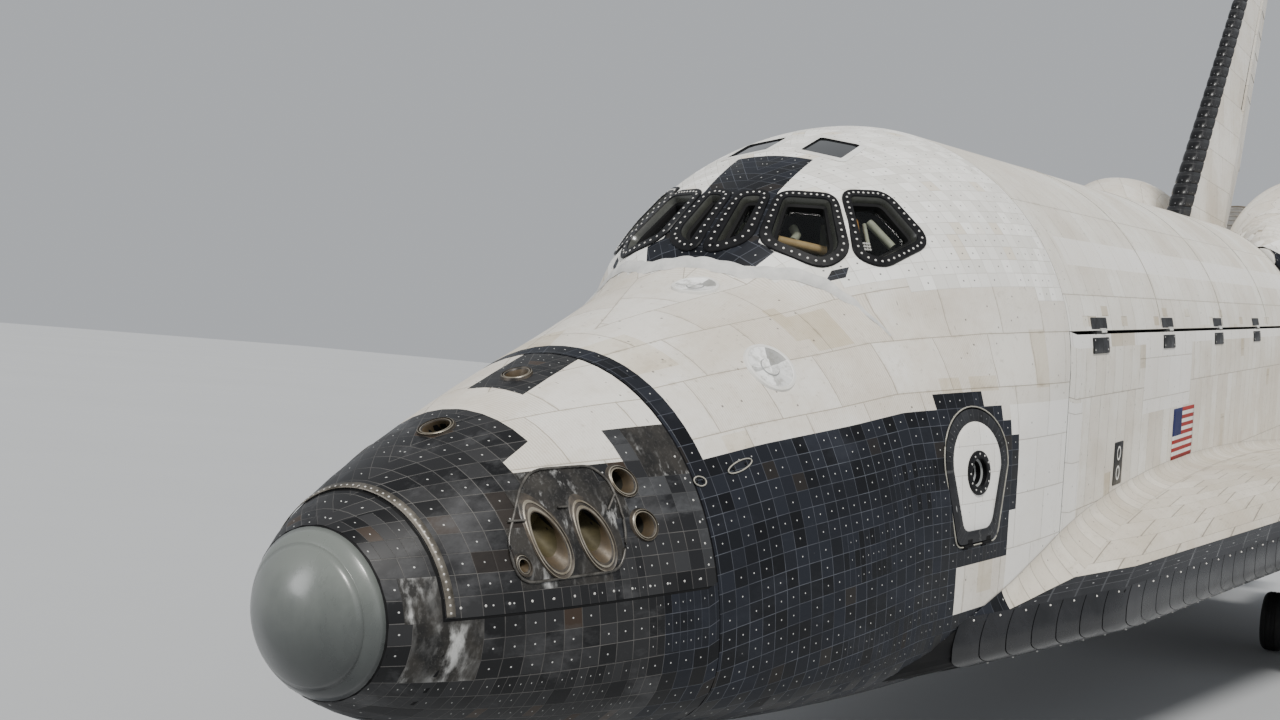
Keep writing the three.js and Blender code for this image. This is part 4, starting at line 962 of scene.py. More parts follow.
def on_skin(y, z, out=0.0, reach=2.5, rounds=14):
    """The point of the port skin at a station and a height, out metres proud of it."""
    wide = section(y)[2]
    angle = math.asin(clamp((z - wide) / reach, -1, 1))
    for _ in range(rounds):
        angle = math.atan2(z - wide, radius_at(y, angle) * math.cos(angle))
    r = radius_at(y, angle) + out
    return Vector((r * math.cos(angle), y, wide + r * math.sin(angle)))


def over_skin(x, y, out=0.0):
    """The point of the upper skin at a width and a station."""
    wide = section(y)[2]
    r = body_radius(y, HALF_TURN)
    z = float(np.interp(-abs(x), -(r * np.cos(HALF_TURN))[180:], (wide + r * np.sin(HALF_TURN))[180:]))
    angle = math.atan2(z - wide, abs(x))
    return Vector((x + math.copysign(out * math.cos(angle), x or 1), y, z + out * math.sin(angle)))


# Camera, floor and light

CAMERA = {"at": (6.9, -7.15, 3.9), "yaw": 30.9, "pitch": 3.3, "roll": 2.9, "lens": 41.9}


def add_camera():
    yaw, pitch, roll = (math.radians(CAMERA[k]) for k in ("yaw", "pitch", "roll"))
    ahead = Vector((-math.sin(yaw) * math.cos(pitch), math.cos(yaw) * math.cos(pitch), -math.sin(pitch)))
    right = ahead.cross(Vector((0, 0, 1))).normalized()
    up = right.cross(ahead)
    level, tall = right * math.cos(roll) + up * math.sin(roll), up * math.cos(roll) - right * math.sin(roll)
    turn = Matrix((level, tall, -ahead)).transposed().to_4x4()
    data = bpy.data.cameras.new("photo_camera")
    data.sensor_width = 36
    data.lens = CAMERA["lens"]
    data.clip_end = 600
    camera = added("photo_camera", data)
    camera.matrix_world = PLACE @ Matrix.Translation(CAMERA["at"]) @ turn
    bpy.context.scene.camera = camera


def add_sun(name, way, strength, angle, color=(1, 1, 1)):
    data = bpy.data.lights.new(name, "SUN")
    data.energy = strength
    data.angle = math.radians(angle)
    data.color = color
    added(name, data).matrix_world = Vector(way).to_track_quat("-Z", "Y").to_matrix().to_4x4()


def add_stage():
    size = 400
    mesh = bpy.data.meshes.new("studio_floor")
    corners = [(x * size, y * size, 0) for x, y in ((-1, -1), (1, -1), (1, 1), (-1, 1))]
    mesh.from_pydata(corners, [], [range(4)])
    mesh.materials.append(STUDIO_GREY)
    floor = added("studio_floor", mesh)
    world = bpy.data.worlds.new("studio")
    world.use_nodes = True
    backdrop = world.node_tree.nodes["Background"].inputs
    backdrop[0].default_value = (0.82, 0.85, 0.89, 1)
    backdrop[1].default_value = 0.58
    bpy.context.scene.world = world
    add_sun("key", (-0.42, 0.42, -0.80), 3.7, 12, (1.0, 0.98, 0.94))
    add_sun("front", (0.50, 0.80, -0.33), 1.1, 25, (0.97, 0.98, 1.0))
    add_sun("fill", (-0.9, 0.2, -0.25), 0.5, 60, (0.95, 0.97, 1.0))


add_camera()
add_stage()

# Fuselage skin

NOSE_WELL = ((-0.43, 2.15, -0.5), (0.43, 4.70, 0.9))
MODULE = {"front": 0.64, "back": 2.96, "floor": 1.53}
# (station, length along the skin) outlines on the port side
WHITE_SIDE = [(2.9, 0.99), (3.84, 1.09), (4.98, 1.19), (5.72, 1.27), (6.08, 1.27), (6.16, 1.38), (6.34, 1.44),
              (6.62, 1.46), (6.68, 1.39), (6.96, 1.34), (7.16, 1.32), (7.34, 1.03), (7.40, 1.0), (7.56, 0.42),
              (7.42, 0.42), (7.46, 0.22), (7.36, 0.19), (7.40, -0.01), (7.28, -0.02), (7.32, -0.18),
              (6.3, -0.17), (6.3, -0.64), (7.36, -0.69), (8.95, -0.74), (8.95, 9), (2.9, 9)]
WHITE_MODULE = [(1.5, 1.08), (2.4, 1.08), (2.4, 1.4), (3.0, 1.4), (3.0, 9), (1.5, 9)]
MODULE_BOXES = [((-0.62, 0.9, 2.1), (0.62, 1.80, 9)), ((-0.27, 2.20, 2.6), (0.27, 2.97, 9))]
# (station, height) of the ends of the module's small bars
MODULE_BARS = [((1.24, 2.13), (1.37, 2.13)), ((1.66, 2.20), (1.74, 2.20)), ((2.06, 2.16), (2.17, 2.26))]
PLATE = [(1.46, 0.91), (1.64, 1.06), (2.10, 1.04), (2.18, 0.91), (2.18, 0.64), (2.13, 0.41), (2.02, 0.22),
         (1.18, 0.20), (1.16, 0.48)]
CLEAN_SIDE = [(7.3, -0.66), (8.95, -0.66), (8.95, 1.26), (7.3, 1.28)]
# station, length, size along the station and the length of the stained patches
STAINED = [(3.05, 1.05, 0.30, 0.16), (3.62, 1.14, 0.34, 0.16), (6.5, 1.5, 0.3, 0.2), (3.4, 2.2, 0.5, 0.6),
           (6.95, 1.55, 0.5, 0.15), (6.9, -0.42, 0.3, 0.36), (5.25, 2.25, 0.6, 0.45), (8.1, 1.7, 0.3, 0.5)]
SKIN_MATS = [BLACK_TILE, NOSE_TILE, SCUFFED_TILE, BROWN_TILE, WHITE_TILE, BLANKET, CLEAN_BLANKET,
             PATCH_BLANKET, DEEP_TILE, STREAKED, MARBLED, TALL_BLANKET]
BLACK, NOSE, SCUFFED, BROWN, WHITE, QUILT, CLEAN, PATCH, DEEP, STREAK, MARBLE, TALL = range(12)

# The zones pick a place in SKIN_MATS for a face, from its side, station, length along the skin, x and z.


def lower_zone(side, y, v, x, z):
    if z < 0.9 and random.random() < 0.10:
        return DEEP
    if 0.42 < y < 0.85 and -0.5 < v < 0.25:
        return MARBLE
    return NOSE if y < 2.4 else BLACK


def module_zone(side, y, v, x, z):
    if inside((y, v), WHITE_MODULE):
        return QUILT
    if inside((y, v), PLATE) or (y > 2.5 and v > 0.9):
        return STREAK
    if y > 2.38 and v > 0.75:
        return SCUFFED
    if y > 2.1 and 0.15 < v < 0.75 and random.random() < 0.35:
        return SCUFFED
    if 0.9 < y < 1.5 and 0.2 < v < 0.9 and random.random() < 0.16:
        return BROWN
    if y > 2.5 and v > 0.6:
        return MARBLE
    return NOSE


def forward_zone(side, y, v, x, z):
    if y < MODULE["back"] + TILE and v > 0.9:
        return BLACK
    if inside((y, v), WHITE_SIDE):
        for at, long, wide, tall in STAINED:
            if abs(y - at) < wide / 2 and abs(v - long) < tall / 2:
                return PATCH
        if inside((y, v), CLEAN_SIDE):
            return CLEAN
        if z > 3.9 and y > 5.2:
            return WHITE
        return QUILT
    if z < 0.7 and random.random() < 0.14:
        return DEEP
    return BLACK


def mid_zone(side, y, v, x, z):
    if z < 0.72:
        return DEEP if random.random() < 0.1 else BLACK
    if y < 9.6 and v < 1.25:
        return CLEAN
    if z > 3.24:
        return PATCH if 10.6 < y < 11.9 else CLEAN
    if 12.4 < y < 15.6 and z > 2.3:
        return CLEAN
    if math.sin(y * 2.1 + 1) * math.sin(v * 1.7 + y * 0.4) > 0.93:
        return PATCH
    return TALL


def aft_zone(side, y, v, x, z):
    if z < 0.85 or (y < 27.4 and z > 3.7):
        return BLACK
    return WHITE if z < 2.2 else QUILT


def canopy_way(azimuth, elevation):
    a, e = math.radians(azimuth), math.radians(elevation)
    return Vector((math.sin(a) * math.cos(e), -math.cos(a) * math.cos(e), math.sin(e)))


def canopy_point(azimuth, elevation, reach):
    return CENTRE + canopy_way(azimuth, elevation) * reach


def rounded(corners, radius, points=5):
    """A closed outline with its corners cut to arcs, as a list of points."""
    out = []
    count = len(corners)
    for i in range(count):
        p, q, r = Vector(corners[i - 1]), Vector(corners[i]), Vector(corners[(i + 1) % count])
        a, b = (p - q), (r - q)
        reach = min(radius, a.length * 0.45, b.length * 0.45)
        start, end = q + a.normalized() * reach, q + b.normalized() * reach
        for k in range(points):
            t = k / (points - 1)
            out.append((1 - t) ** 2 * start + 2 * t * (1 - t) * q + t**2 * end)
    return out


def grown(outline, by):
    """A closed flat outline moved outward by a distance."""
    points = [Vector(p) for p in outline]
    area = sum(a.x * b.y - b.x * a.y for a, b in zip(points, points[1:] + points[:1]))
    turn = 1 if area > 0 else -1
    out = []
    for i, p in enumerate(points):
        way = points[(i + 1) % len(points)] - points[i - 1]
        out.append(p + Vector((way.y, -way.x)).normalized() * by * turn)
    return out


def flat(points):
    """Points of the plane as pairs."""
    return [tuple(p) for p in points]


# Windows as directions from the canopy's centre: azimuth from the nose to port, and elevation
WINDSHIELD = [
    [(1, 23.3), (11.3, 28), (11.8, 46), (1.2, 45)],
    [(13.2, 27.9), (29, 23.2), (35.6, 28.3), (33.8, 47), (14.4, 46)],
    [(37.6, 27.6), (44.8, 25.8), (63.2, 34.1), (54.6, 50), (36.6, 49.2)],
]
# Black patches round the windows, as outlines of directions
BROW_PATCHES = [
    [(-9, 20.5), (9, 20.5), (13.3, 28), (14.2, 46), (-14.2, 46), (-13.3, 28)],
    [(-14.2, 46), (14.2, 46), (26, 65), (-26, 65)],
    *[[(s * 8, 21.2), (s * 13.3, 28), (s * 17.5, 25.8), (s * 14, 21.6)] for s in (1, -1)],
    *[[(s * 29.5, 20.0), (s * 34.5, 21.8), (s * 35.5, 24.6), (s * 31, 23)] for s in (1, -1)],
]
OVERHEAD = [(0.16, 7.05), (0.70, 7.05), (0.70, 7.62), (0.16, 7.62)]  # the corners of the port overhead pane
HATCH = {"y": HATCH_HINGE[0], "top": 2.22, "radius": 0.56, "bottom": 1.5, "foot": 0.4, "window": 2.17}
# station, height, radius and way out on the port side
SIDE_THRUSTERS = [
    (1.50, 1.98, 0.12, (0.8, 0, -0.5)),
    (1.88, 1.99, 0.12, (0.8, 0, -0.5)),
    (2.30, 2.35, 0.095, (1, 0, 0.1)),
    (2.34, 2.04, 0.095, (1, 0, 0.1)),
    (1.24, 1.85, 0.04, (0.9, -0.1, -0.3)),
]
# station, radius and way out on the middle line
TOP_THRUSTERS = [(1.50, 0.11, (0, -0.7, 0.7)), (2.48, 0.10, (0, 0, 1))]
# across, station and radius
STAR_TRACKERS = [(0.219, 4.94, 0.20), (1.274, 4.44, 0.23)]


def hatch_outline(grow):
    """The hatch's outline as (station, height) pairs."""
    y, r, foot = HATCH["y"], HATCH["radius"] + grow, HATCH["foot"] + grow
    arc = [(y + r * math.cos(a), HATCH["top"] + r * math.sin(a)) for a in np.linspace(0, math.pi, 25)]
    low = HATCH["bottom"] - grow
    corners = [arc[-1], (y - foot, low), (y + foot, low), arc[0]]
    return flat(arc) + flat(rounded(corners, 0.12, 6)[6:18])


def thruster_places():
    """Middle, way out and radius of each thruster's mouth."""
    for y, z, r, out in SIDE_THRUSTERS:
        at = on_skin(y, z)
        for side in (1, -1):
            yield Vector((side * at.x, at.y, at.z)), Vector((side * out[0], out[1], out[2])).normalized(), r
    for y, r, out in TOP_THRUSTERS:
        yield over_skin(0.0, y), Vector(out).normalized(), r


def forward_cuts():
    """Cutters for the windows, the hatch, the star trackers and the overhead panes."""
    cuts = []
    for corners in WINDSHIELD:
        rings = [[canopy_point(*c, reach) for c in window_outline(corners, -0.1)] for reach in (1.6, 3.4)]
        cuts.append(loft("window_cut", rings, DARK, body=None, smooth=False))
    cuts += [mirrored(c, "mirrored_cut", None) for c in cuts]
    cuts.append(cutter("hatch_cut", hatch_outline(0.012), "x", 1.6, 3.4))
    for x, y, r in STAR_TRACKERS:
        profile = [(r, -0.3), (r, 0.3)]
        cuts.append(turned("tracker_cut", profile, over_skin(x, y), skin_normal(x, y), DARK, 40, None))
    for side in (1, -1):
        cuts.append(cutter("overhead_cut", [(side * x, y) for x, y in OVERHEAD], "z", 4.5, 6.2))
    return cuts


def build_forward():
    rings = []
    turn = np.linspace(0, 2 * math.pi, 65)[:-1]
    ys = [0.0, 0.006, 0.02, 0.04, 0.07, 0.11, 0.16, 0.196, 0.199, 0.203, 0.206, 0.26, NOSE_CAP_END - SEAM]
    for y in ys:
        groove = 0.198 < y < 0.204
        inset = 0.002 if groove else -0.004 if y > 0.01 else 0.02
        rings.append(body_ring(y, turn, body_radius(y, turn, inset)))
    nose = loft("nose_cap_dome", rings, NOSE_CARBON)
    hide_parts("nose_cap")

    start, front, back = NOSE_CAP_END + 0.004, MODULE["front"], MODULE["back"]
    lower = skin("nose_tiles_lower", tile_steps(start, back), SKIN_MATS, lower_zone, high=-SEAM)
    skin("nose_tiles_ring", [start, 0.40, 0.52, front - SEAM], SKIN_MATS, lower_zone, low=-SEAM)
    module_run, forward_run = tile_steps(front + SEAM, back - SEAM), tile_steps(back + SEAM, BAY_FRONT - SEAM)
    module = thicken(skin("thruster_module_skin", module_run, SKIN_MATS, module_zone, low=SEAM), 0.02)
    forward = thicken(skin("forward_skin", forward_run, SKIN_MATS, forward_zone), 0.02)
    mouths = [turned("mouth_cut", [(r * 0.98, -0.3), (r * 1.12, 0.3)], at, way, DARK, 32, None)
              for at, way, r in thruster_places()]
    cut_out(module, mouths)
    for low, high in MODULE_BOXES:
        paint_box(module, low, high, NOSE)
    cut_out(forward, forward_cuts())
    for outline in BROW_PATCHES:
        paint(forward, outline, BLACK)
    trim(lower, *NOSE_WELL)
    trim(forward, *NOSE_WELL)
    for piece in (module, forward):
        sharpen(piece, 50)


def skin_normal(x, y):
    a, b = over_skin(x + 0.02, y) - over_skin(x - 0.02, y), over_skin(x, y + 0.02) - over_skin(x, y - 0.02)
    way = a.cross(b).normalized()
    return way if way.z > 0 else -way


def build_mid():
    sill = Station(15, -PROUD).length_at(SILL_Z)
    stations = steps(BAY_FRONT + SEAM, BAY_BACK - SEAM, 0.3)
    skin("mid_skin", stations, SKIN_MATS, mid_zone, high=sill, step=0.3)
    stations = steps(BAY_BACK + SEAM, BODY_END, 0.3)
    slants = [BASE_SLANT * clamp((y - BASE_FROM) / (BODY_END - BASE_FROM)) for y in stations]
    skin("aft_skin", stations, SKIN_MATS, aft_zone, slants=slants, step=0.3)


def hull_tree():
    """The bare fuselage ahead of the bay and a little behind, for rays in vehicle axes."""
    turn = np.linspace(0, 2 * math.pi, 241)[:-1]
    rings = [body_ring(y, turn, reached(y, turn, -PROUD)) for y in np.arange(0.2, 12.01, 0.05)]
    return BVHTree.FromPolygons([p for ring in rings for p in ring], grid_faces(len(rings), 240, closed=True))


HULL = hull_tree()


def hit(origin, way, out=0.0):
    """Where a ray meets the bare fuselage, out metres proud of it, and the skin's outward way there."""
    at, normal, _, _ = HULL.ray_cast(Vector(origin), Vector(way).normalized())
    middle = Vector((0, at.y, section(at.y)[2]))
    if normal.dot(at - middle) < 0:
        normal = -normal
    return at + normal * out, normal


def side_hit(y, z, out=0.0):
    return hit((9, y, z), (-1, 0, 0), out)[0]


def top_hit(x, y, out=0.0):
    return hit((x, y, 9), (0, 0, -1), out)[0]


def canopy_hit(azimuth, elevation, out=0.0):
    return hit(CENTRE, canopy_way(azimuth, elevation), out)[0]


def spaced(points, spacing):
    """Points at equal spacing along a closed path."""
    points = [Vector(p) for p in (*points, points[0])]
    lengths = np.concatenate([[0], np.cumsum([(b - a).length for a, b in zip(points, points[1:])])])
    count = max(2, round(lengths[-1] / spacing))
    for k in range(count):
        d = lengths[-1] * k / count
        i = int(clamp(np.searchsorted(lengths, d, side="right") - 1, 0, len(points) - 2))
        span = lengths[i + 1] - lengths[i] or 1.0
        yield points[i].lerp(points[i + 1], (d - lengths[i]) / span)


# Windows

FRAME_WIDTH = 1.9  # degrees about the canopy's centre


def window_outline(corners, by):
    """A window's rounded outline, moved outward, with azimuths stretched to true angles and back."""
    scale = math.cos(math.radians(sum(e for _, e in corners) / len(corners)))
    flat = rounded([(a * scale, e) for a, e in corners], 4.2, 7)
    return [(p.x / scale, p.y) for p in grown(flat, by)]


def build_windows():
    frames, rivets = [], []
    edge = -FRAME_WIDTH
    # (degrees outward, metres proud) of a frame's rings
    profile = [(0.6, -0.02), (0.6, 0.010), (0.4, 0.020), (edge, 0.018), (edge - 0.15, 0.004),
               (edge - 0.5, -0.03), (edge - 0.6, -0.06), (edge - 1.3, -0.075), (edge - 1.4, -0.14)]
    for side, name in side_names():
        glass = []
        for corners in WINDSHIELD:
            at = lambda by, out: [canopy_hit(side * a, e, out) for a, e in window_outline(corners, by)]
            rings = [at(by, out) for by, out in profile]
            # The last two strips lie deep in the opening and are near black as painted shade.
            picks = [0, 0, 0, 0, 1, 1, 2, 2]
            frames.append(ring_mesh("frame", rings, [FRAME_BLACK, REVEAL, DARK], picks, body=None))
            for way in spaced([(a, e, 0) for a, e in window_outline(corners, edge * 0.38)], 2.0):
                rivets.append(hit(CENTRE, canopy_way(side * way.x, way.y), 0.018))
            pane = at(edge - 1.2, -0.11)
            glass.append(fan(pane, sum(pane, Vector()) / len(pane), GLASS))
        panes = joined(f"windshield_glass_{name}", glass)
        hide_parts(f"windshield_panes_{name}")
    joined("window_frames", frames)
    domes("window_rivets", rivets, 0.013, RIVET)


def build_lip():
    """The wavy grey lip that closes the joint under the windscreen; its grey is painted shade of the crease
    there.
    """
    path = [(0, 21.0), (4, 21.3), (9, 20.3), (14, 19.9), (20, 20.8), (26, 20.5), (32, 18.3), (37, 15.5),
            (41, 12.2), (44, 8.7)]
    rings = []
    for a in np.linspace(-44, 44, 121):
        e = table(abs(a), path) + 0.25 * math.sin(abs(a) * 0.9)
        wide = table(abs(a), [(0, 1.5), (30, 1.5), (44, 0.3)])
        rings.append([canopy_hit(a, e + wide * k, 0.004 + 0.016 * (1 - abs(k) ** 1.5))
                      for k in (-1, -0.6, -0.2, 0.2, 0.6, 1)])
    uvs = [(i, j) for i in range(121) for j in range(6)]
    ring_mesh("windscreen_lip", rings, [LIP_SHADE], closed=False, uvs=uvs)


# Hatch


def matched(outline, centre, radius):
    """Points of a circle in the directions of an outline's points."""
    out = []
    for y, z in outline:
        way = Vector((y - centre[0], z - centre[1])).normalized() * radius
        out.append((centre[0] + way.x, centre[1] + way.y))
    return out


def build_hatch():
    centre = (HATCH["y"], HATCH["window"])
    outer, inner = hatch_outline(-0.002), hatch_outline(-0.125)
    disc = matched(inner, centre, 0.21)
    flats = [outer, hatch_outline(-0.006), hatch_outline(-0.06), hatch_outline(-0.118), inner]
    for t in (0.02, 0.25, 0.5, 0.75, 1):
        flats.append([lerp_pair(p, q, t) for p, q in zip(inner, disc)])
    heights = [-0.05, 0.006, 0.008, 0.008, 0.003, 0.006, 0.006, 0.006, 0.006, 0.006]
    rings = [[side_hit(y, z, h) for y, z in line] for line, h in zip(flats, heights)]
    uvs = []
    for i, line in enumerate(flats):
        for k, (y, z) in enumerate(line):
            uvs.append((k * 0.75, i * 0.4 - 0.3) if i < 5 else (y / TILE * 2, z / TILE * 2))
    mats, picks = [HATCH_TILE, DARK, CLEAN_BLANKET], [0, 0, 0, 0, 2, 2, 2, 2, 2]
    door = ring_mesh("crew_hatch_skin", rings, mats, picks, "crew_hatch", uvs)
    at, normal = hit((9, *centre), (-1, 0, 0), 0.0)
    profile = [(0.215, -0.01), (0.212, 0.016), (0.19, 0.024), (0.15, 0.022), (0.142, 0.014), (0.14, -0.03),
               (0.118, -0.04), (0.116, -0.09), (0.098, -0.10), (0.09, -0.14), (0.0, -0.14)]
    mats, kinds = [FRAME_BLACK, GREY_PAINT, GLASS_DARK], [0, 0, 0, 0, 0, 1, 0, 1, 0, 2]
    ring = turned("hatch_window_ring", profile, at, normal, mats, 48, "crew_hatch", kinds)
    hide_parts("hatch_window")
    bolts = [(p, normal) for p in circle_points(at + normal * 0.023, normal, 0.181, 12)]
    domes("hatch_window_bolts", bolts, 0.011, RIVET, "crew_hatch")
    path = [side_hit(y, z, 0.004) for y, z in hatch_outline(0.016)]
    tube("hatch_seal", path + path[:1], SEAM_TUBE, SEAL, 6, BODY)


# Thrusters and star trackers


def build_mouths():
    cups, rims = [], []
    for at, way, r in thruster_places():

        def lip(share, out):
            """A circle dropped on the skin, a share of the mouth's radius wide."""
            return [hit(p, -way)[0] + way * out for p in circle_points(at + way * 1.2, way, r * share, 48)]

        def deep(share, down):
            return circle_points(at - way * down, way, r * share, 48)

        wide = 1.26 if r > 0.05 else 1.55
        profile = [(wide + 0.06, -0.004), (wide + 0.03, 0.008), (wide - 0.02, 0.006), (wide - 0.04, 0.018),
                   (wide - 0.09, 0.022), (wide - 0.12, 0.008), (wide - 0.15, 0.008), (1.06, 0.017),
                   (0.98, 0.018), (0.92, 0.006)]
        rings = [lip(share, out) for share, out in profile]
        rims.append(ring_mesh("rim", rings, [RIM_DARK, RIM], [0, 0, 0, 1, 0, 0, 0, 1, 0], body=None))
        mouth = [p - way * 0.02 for p in lip(0.86, 0.0)]
        inner = [rings[-1], mouth]
        for share, t in ((0.80, 0.25), (0.77, 0.6), (0.71, 1.0)):
            inner.append([m.lerp(p, t) for m, p in zip(mouth, deep(share, 0.225))])
        inner += [deep(0.45, 0.235), deep(0.01, 0.24)]
        mats = [CUP if r > 0.1 else CUP_DARK, DARK, RIM_BROWN]
        cups.append(ring_mesh("cup", inner, mats, [2, 2, 0, 0, 0, 0], body=None))
    joined("thruster_rims", rims)
    joined("thruster_cups", cups)


def build_trackers():
    parts = []
    profile = [(1.14, 0.0), (1.10, 0.02), (1.0, 0.024), (0.96, 0.018), (0.5, 0.002), (0.42, 0.001),
               (0.38, 0.009), (0.30, 0.012), (0.01, 0.012)]
    uvs = [(k / 8.0 + 0.3, i * 0.4) for i in range(len(profile)) for k in range(48)]
    for x, y, r in STAR_TRACKERS:
        at, normal = hit((x, y, 9), (0, 0, -1))
        way = frame_of(normal)[0]
        rings = [[hit(p, -way)[0] + way * out for p in circle_points(at + way, normal, r * share, 48)]
                 for share, out in profile]
        mats, picks = [WHITE_PAINT, TRACKER, GREY_PAINT], [0, 0, 0, 1, 1, 2, 1, 1]
        parts.append(ring_mesh("tracker", rings, mats, picks, None, uvs, sharp=25))
    joined("star_trackers", parts)


def build_module_details():
    """Beads, bars and bolts of the thruster module, and dark strips behind its seams, which are painted
    shadow in the gaps.
    """
    beads, shadows = [], []
    front, back, floor = (MODULE[k] for k in ("front", "back", "floor"))
    for side, name in side_names():
        from_side = lambda y, z, out=0.0: hit((side * 9, y, z), (-side, 0, 0), out)
        outline = [Station(y).at(v) for y, v in flat(rounded(PLATE, 0.16, 5))]
        path = [hit((side * (x + 2), y, z), (-side, 0, 0), 0.006)[0] for x, y, z in outline]
        beads.append(tube("bead", path + path[:1], 0.011, BEAD, 8))
        bolts = [from_side(y, floor + 0.075) for y in np.arange(0.75, 2.9, 0.17)]
        bolts += [from_side(back - 0.07, z) for z in np.arange(1.7, 2.6, 0.16)]
        domes(f"module_bolts_{name}", bolts, 0.010, RIVET, height=0.3)
        strip = []
        for y in (front + 0.012, front + 0.070):
            middle = Vector((0, y, section(y)[2]))
            low = math.asin((floor + 0.02 - middle.z) / radius_at(y, 0.0))
            ways = [Vector((side * math.cos(a), 0, math.sin(a))) for a in np.linspace(low, math.pi / 2, 48)]
            strip.append([hit(middle + way * 6, -way, 0.008)[0] for way in ways])
        edge = ring_mesh("strip", strip, [STRIP_METAL], closed=False, body=None)
        beads.append(thicken(edge, 0.006, 0.0))
        heads = [(p.lerp(q, 0.5), hit(middle + way * 6, -way)[1])
                 for p, q, way in list(zip(*strip, ways))[1::2]]
        domes(f"module_front_bolts_{name}", heads, 0.010, RIVET)
        for start, end in MODULE_BARS:
            ends = [side_point(side, *lerp_pair(start, end, t), 0.006) for t in (0, 0.5, 1)]
            beads.append(tube("bar", ends, 0.009, BEAD, 8))
        # Painted shadow behind the seam along the module's floor.
        rings = [[from_side(y, z, -0.004)[0] for z in (floor - 0.02, floor + 0.02)]
                 for y in np.arange(front, back + 0.01, 0.1)]
        shadows.append(ring_mesh("strip", rings, [DARK], closed=False, body=None))
    joined("module_plate_beads", beads)
    # Painted shadow behind the seams round the nose cap and the module.
    turn = np.linspace(0, 2 * math.pi, 97)
    for y in (NOSE_CAP_END, front, back):
        rings = [body_ring(at, turn, body_radius(at, turn)) for at in (y - 0.02, y + 0.02)]
        shadows.append(ring_mesh("strip", rings, [DARK], closed=False, body=None))
    joined("seam_shadows", shadows)


# Payload bay

DOOR_FROM = 10.2  # degrees up from the bay's axis
DOOR_HINGES = [10.2, 13.9, 17.6, 21.3, 25.0]
HINGE_HALF = 0.36  # half the length of a hinge cover
LIGHT_STRIP = (2.72, 3.08)
SERVICE_PANEL_Y = 11.33


class Cut:
    """A run of points with lengths along it, less a start."""

    def __init__(self, u, points, start=0.0):
        self.u = u
        self.points = np.array([tuple(p) for p in points])
        lengths = np.linalg.norm(np.diff(self.points, axis=0), axis=1)
        self.arc = np.concatenate([[0], np.cumsum(lengths)]) - start
        self.low, self.high = float(self.arc[0]), float(self.arc[-1])

    def at(self, v):
        return tuple(float(np.interp(v, self.arc, self.points[:, i])) for i in range(3))


def door_zone(side, y, v, x, z):
    if LIGHT_STRIP[0] < v < LIGHT_STRIP[1] and y > 9.6:
        return 1
    if v < 0.24:
        return 0 if 14.6 < y < 15.6 else 1
    if v < 2.3 and random.random() < 0.10:
        return 2
    return 0


def build_doors():
    angles = np.radians(np.linspace(DOOR_FROM, 90 - math.degrees(0.008 / BAY_RADIUS), 60))
    start = BAY_AXIS_Z - BASE_LINE_Z + BAY_RADIUS * angles[0]
    r = BAY_RADIUS + PROUD
    cuts = []
    for y in steps(BAY_FRONT + 0.014, BAY_BACK - 0.014, 0.3):
        points = [(r * math.cos(a), y, BAY_AXIS_Z + r * math.sin(a)) for a in angles]
        cuts.append(Cut(y, points, -start))
    mats = [DOOR_BLANKET, CLEAN_BLANKET, PATCH_BLANKET]
    for side, name in side_names("payload_door_"):
        door = sheet(f"{name}_skin", cuts, mats, door_zone, step=0.12, sides=(side,), body=name)
        sharpen(thicken(door, 0.012), 50)
        covers = []
        for y in DOOR_HINGES:
            outline = box_outline(y - HINGE_HALF, y + HINGE_HALF, 0.016, 0.15, points=3)
            rings = [[on_door(side, *p, out) for p in outline] for out in (0.002, 0.0085)]
            covers.append(loft("cover", rings, [FRAME_BLACK], body=None, sharp=30))
        joined(f"{name}_hinge_covers", covers, name)
        seams = []
        for y in (13.47, 18.03, 22.6):
            path = [on_door(side, y, d, 0.007) for d in np.linspace(0.03, 3.6, 40)]
            seams.append(tube("seam", path, SEAM_TUBE, SEAL, 6))
        joined(f"{name}_seams", seams, name)
    paint_cad(LINER, "payload_door_left", "payload_door_right")
    paint_cad(RADIATOR, "radiator_left", "radiator_right")


def on_door(side, y, along, out):
    """A point of a door, a length up from its lower edge."""
    a = math.radians(DOOR_FROM) + along / BAY_RADIUS
    r = BAY_RADIUS + out
    return Vector((side * r * math.cos(a), y, BAY_AXIS_Z + r * math.sin(a)))


def side_point(side, y, z, out):
    """A point of the fuselage's side at a station and height, for any station ahead of the tail."""
    at = side_hit(y, z, out + PROUD) if y < BAY_FRONT else on_skin(y, z, out + PROUD, 2.6, 12)
    return Vector((side * at.x, at.y, at.z))


def flat_plate(outline, out, side):
    """A plate on the fuselage's side, out metres proud. The outline's points are (station, height)."""
    lines = [(outline, out - 0.02), (outline, out), (grown(outline, -0.008), out + 0.0032)]
    rings = [[side_point(side, *p, height) for p in line] for line, height in lines]
    return loft("plate", rings, [FRAME_BLACK], body=None, sharp=30)


def box_outline(y0, y1, z0, z1, points=4):
    return flat(rounded([(y0, z0), (y1, z0), (y1, z1), (y0, z1)], 0.02, points))


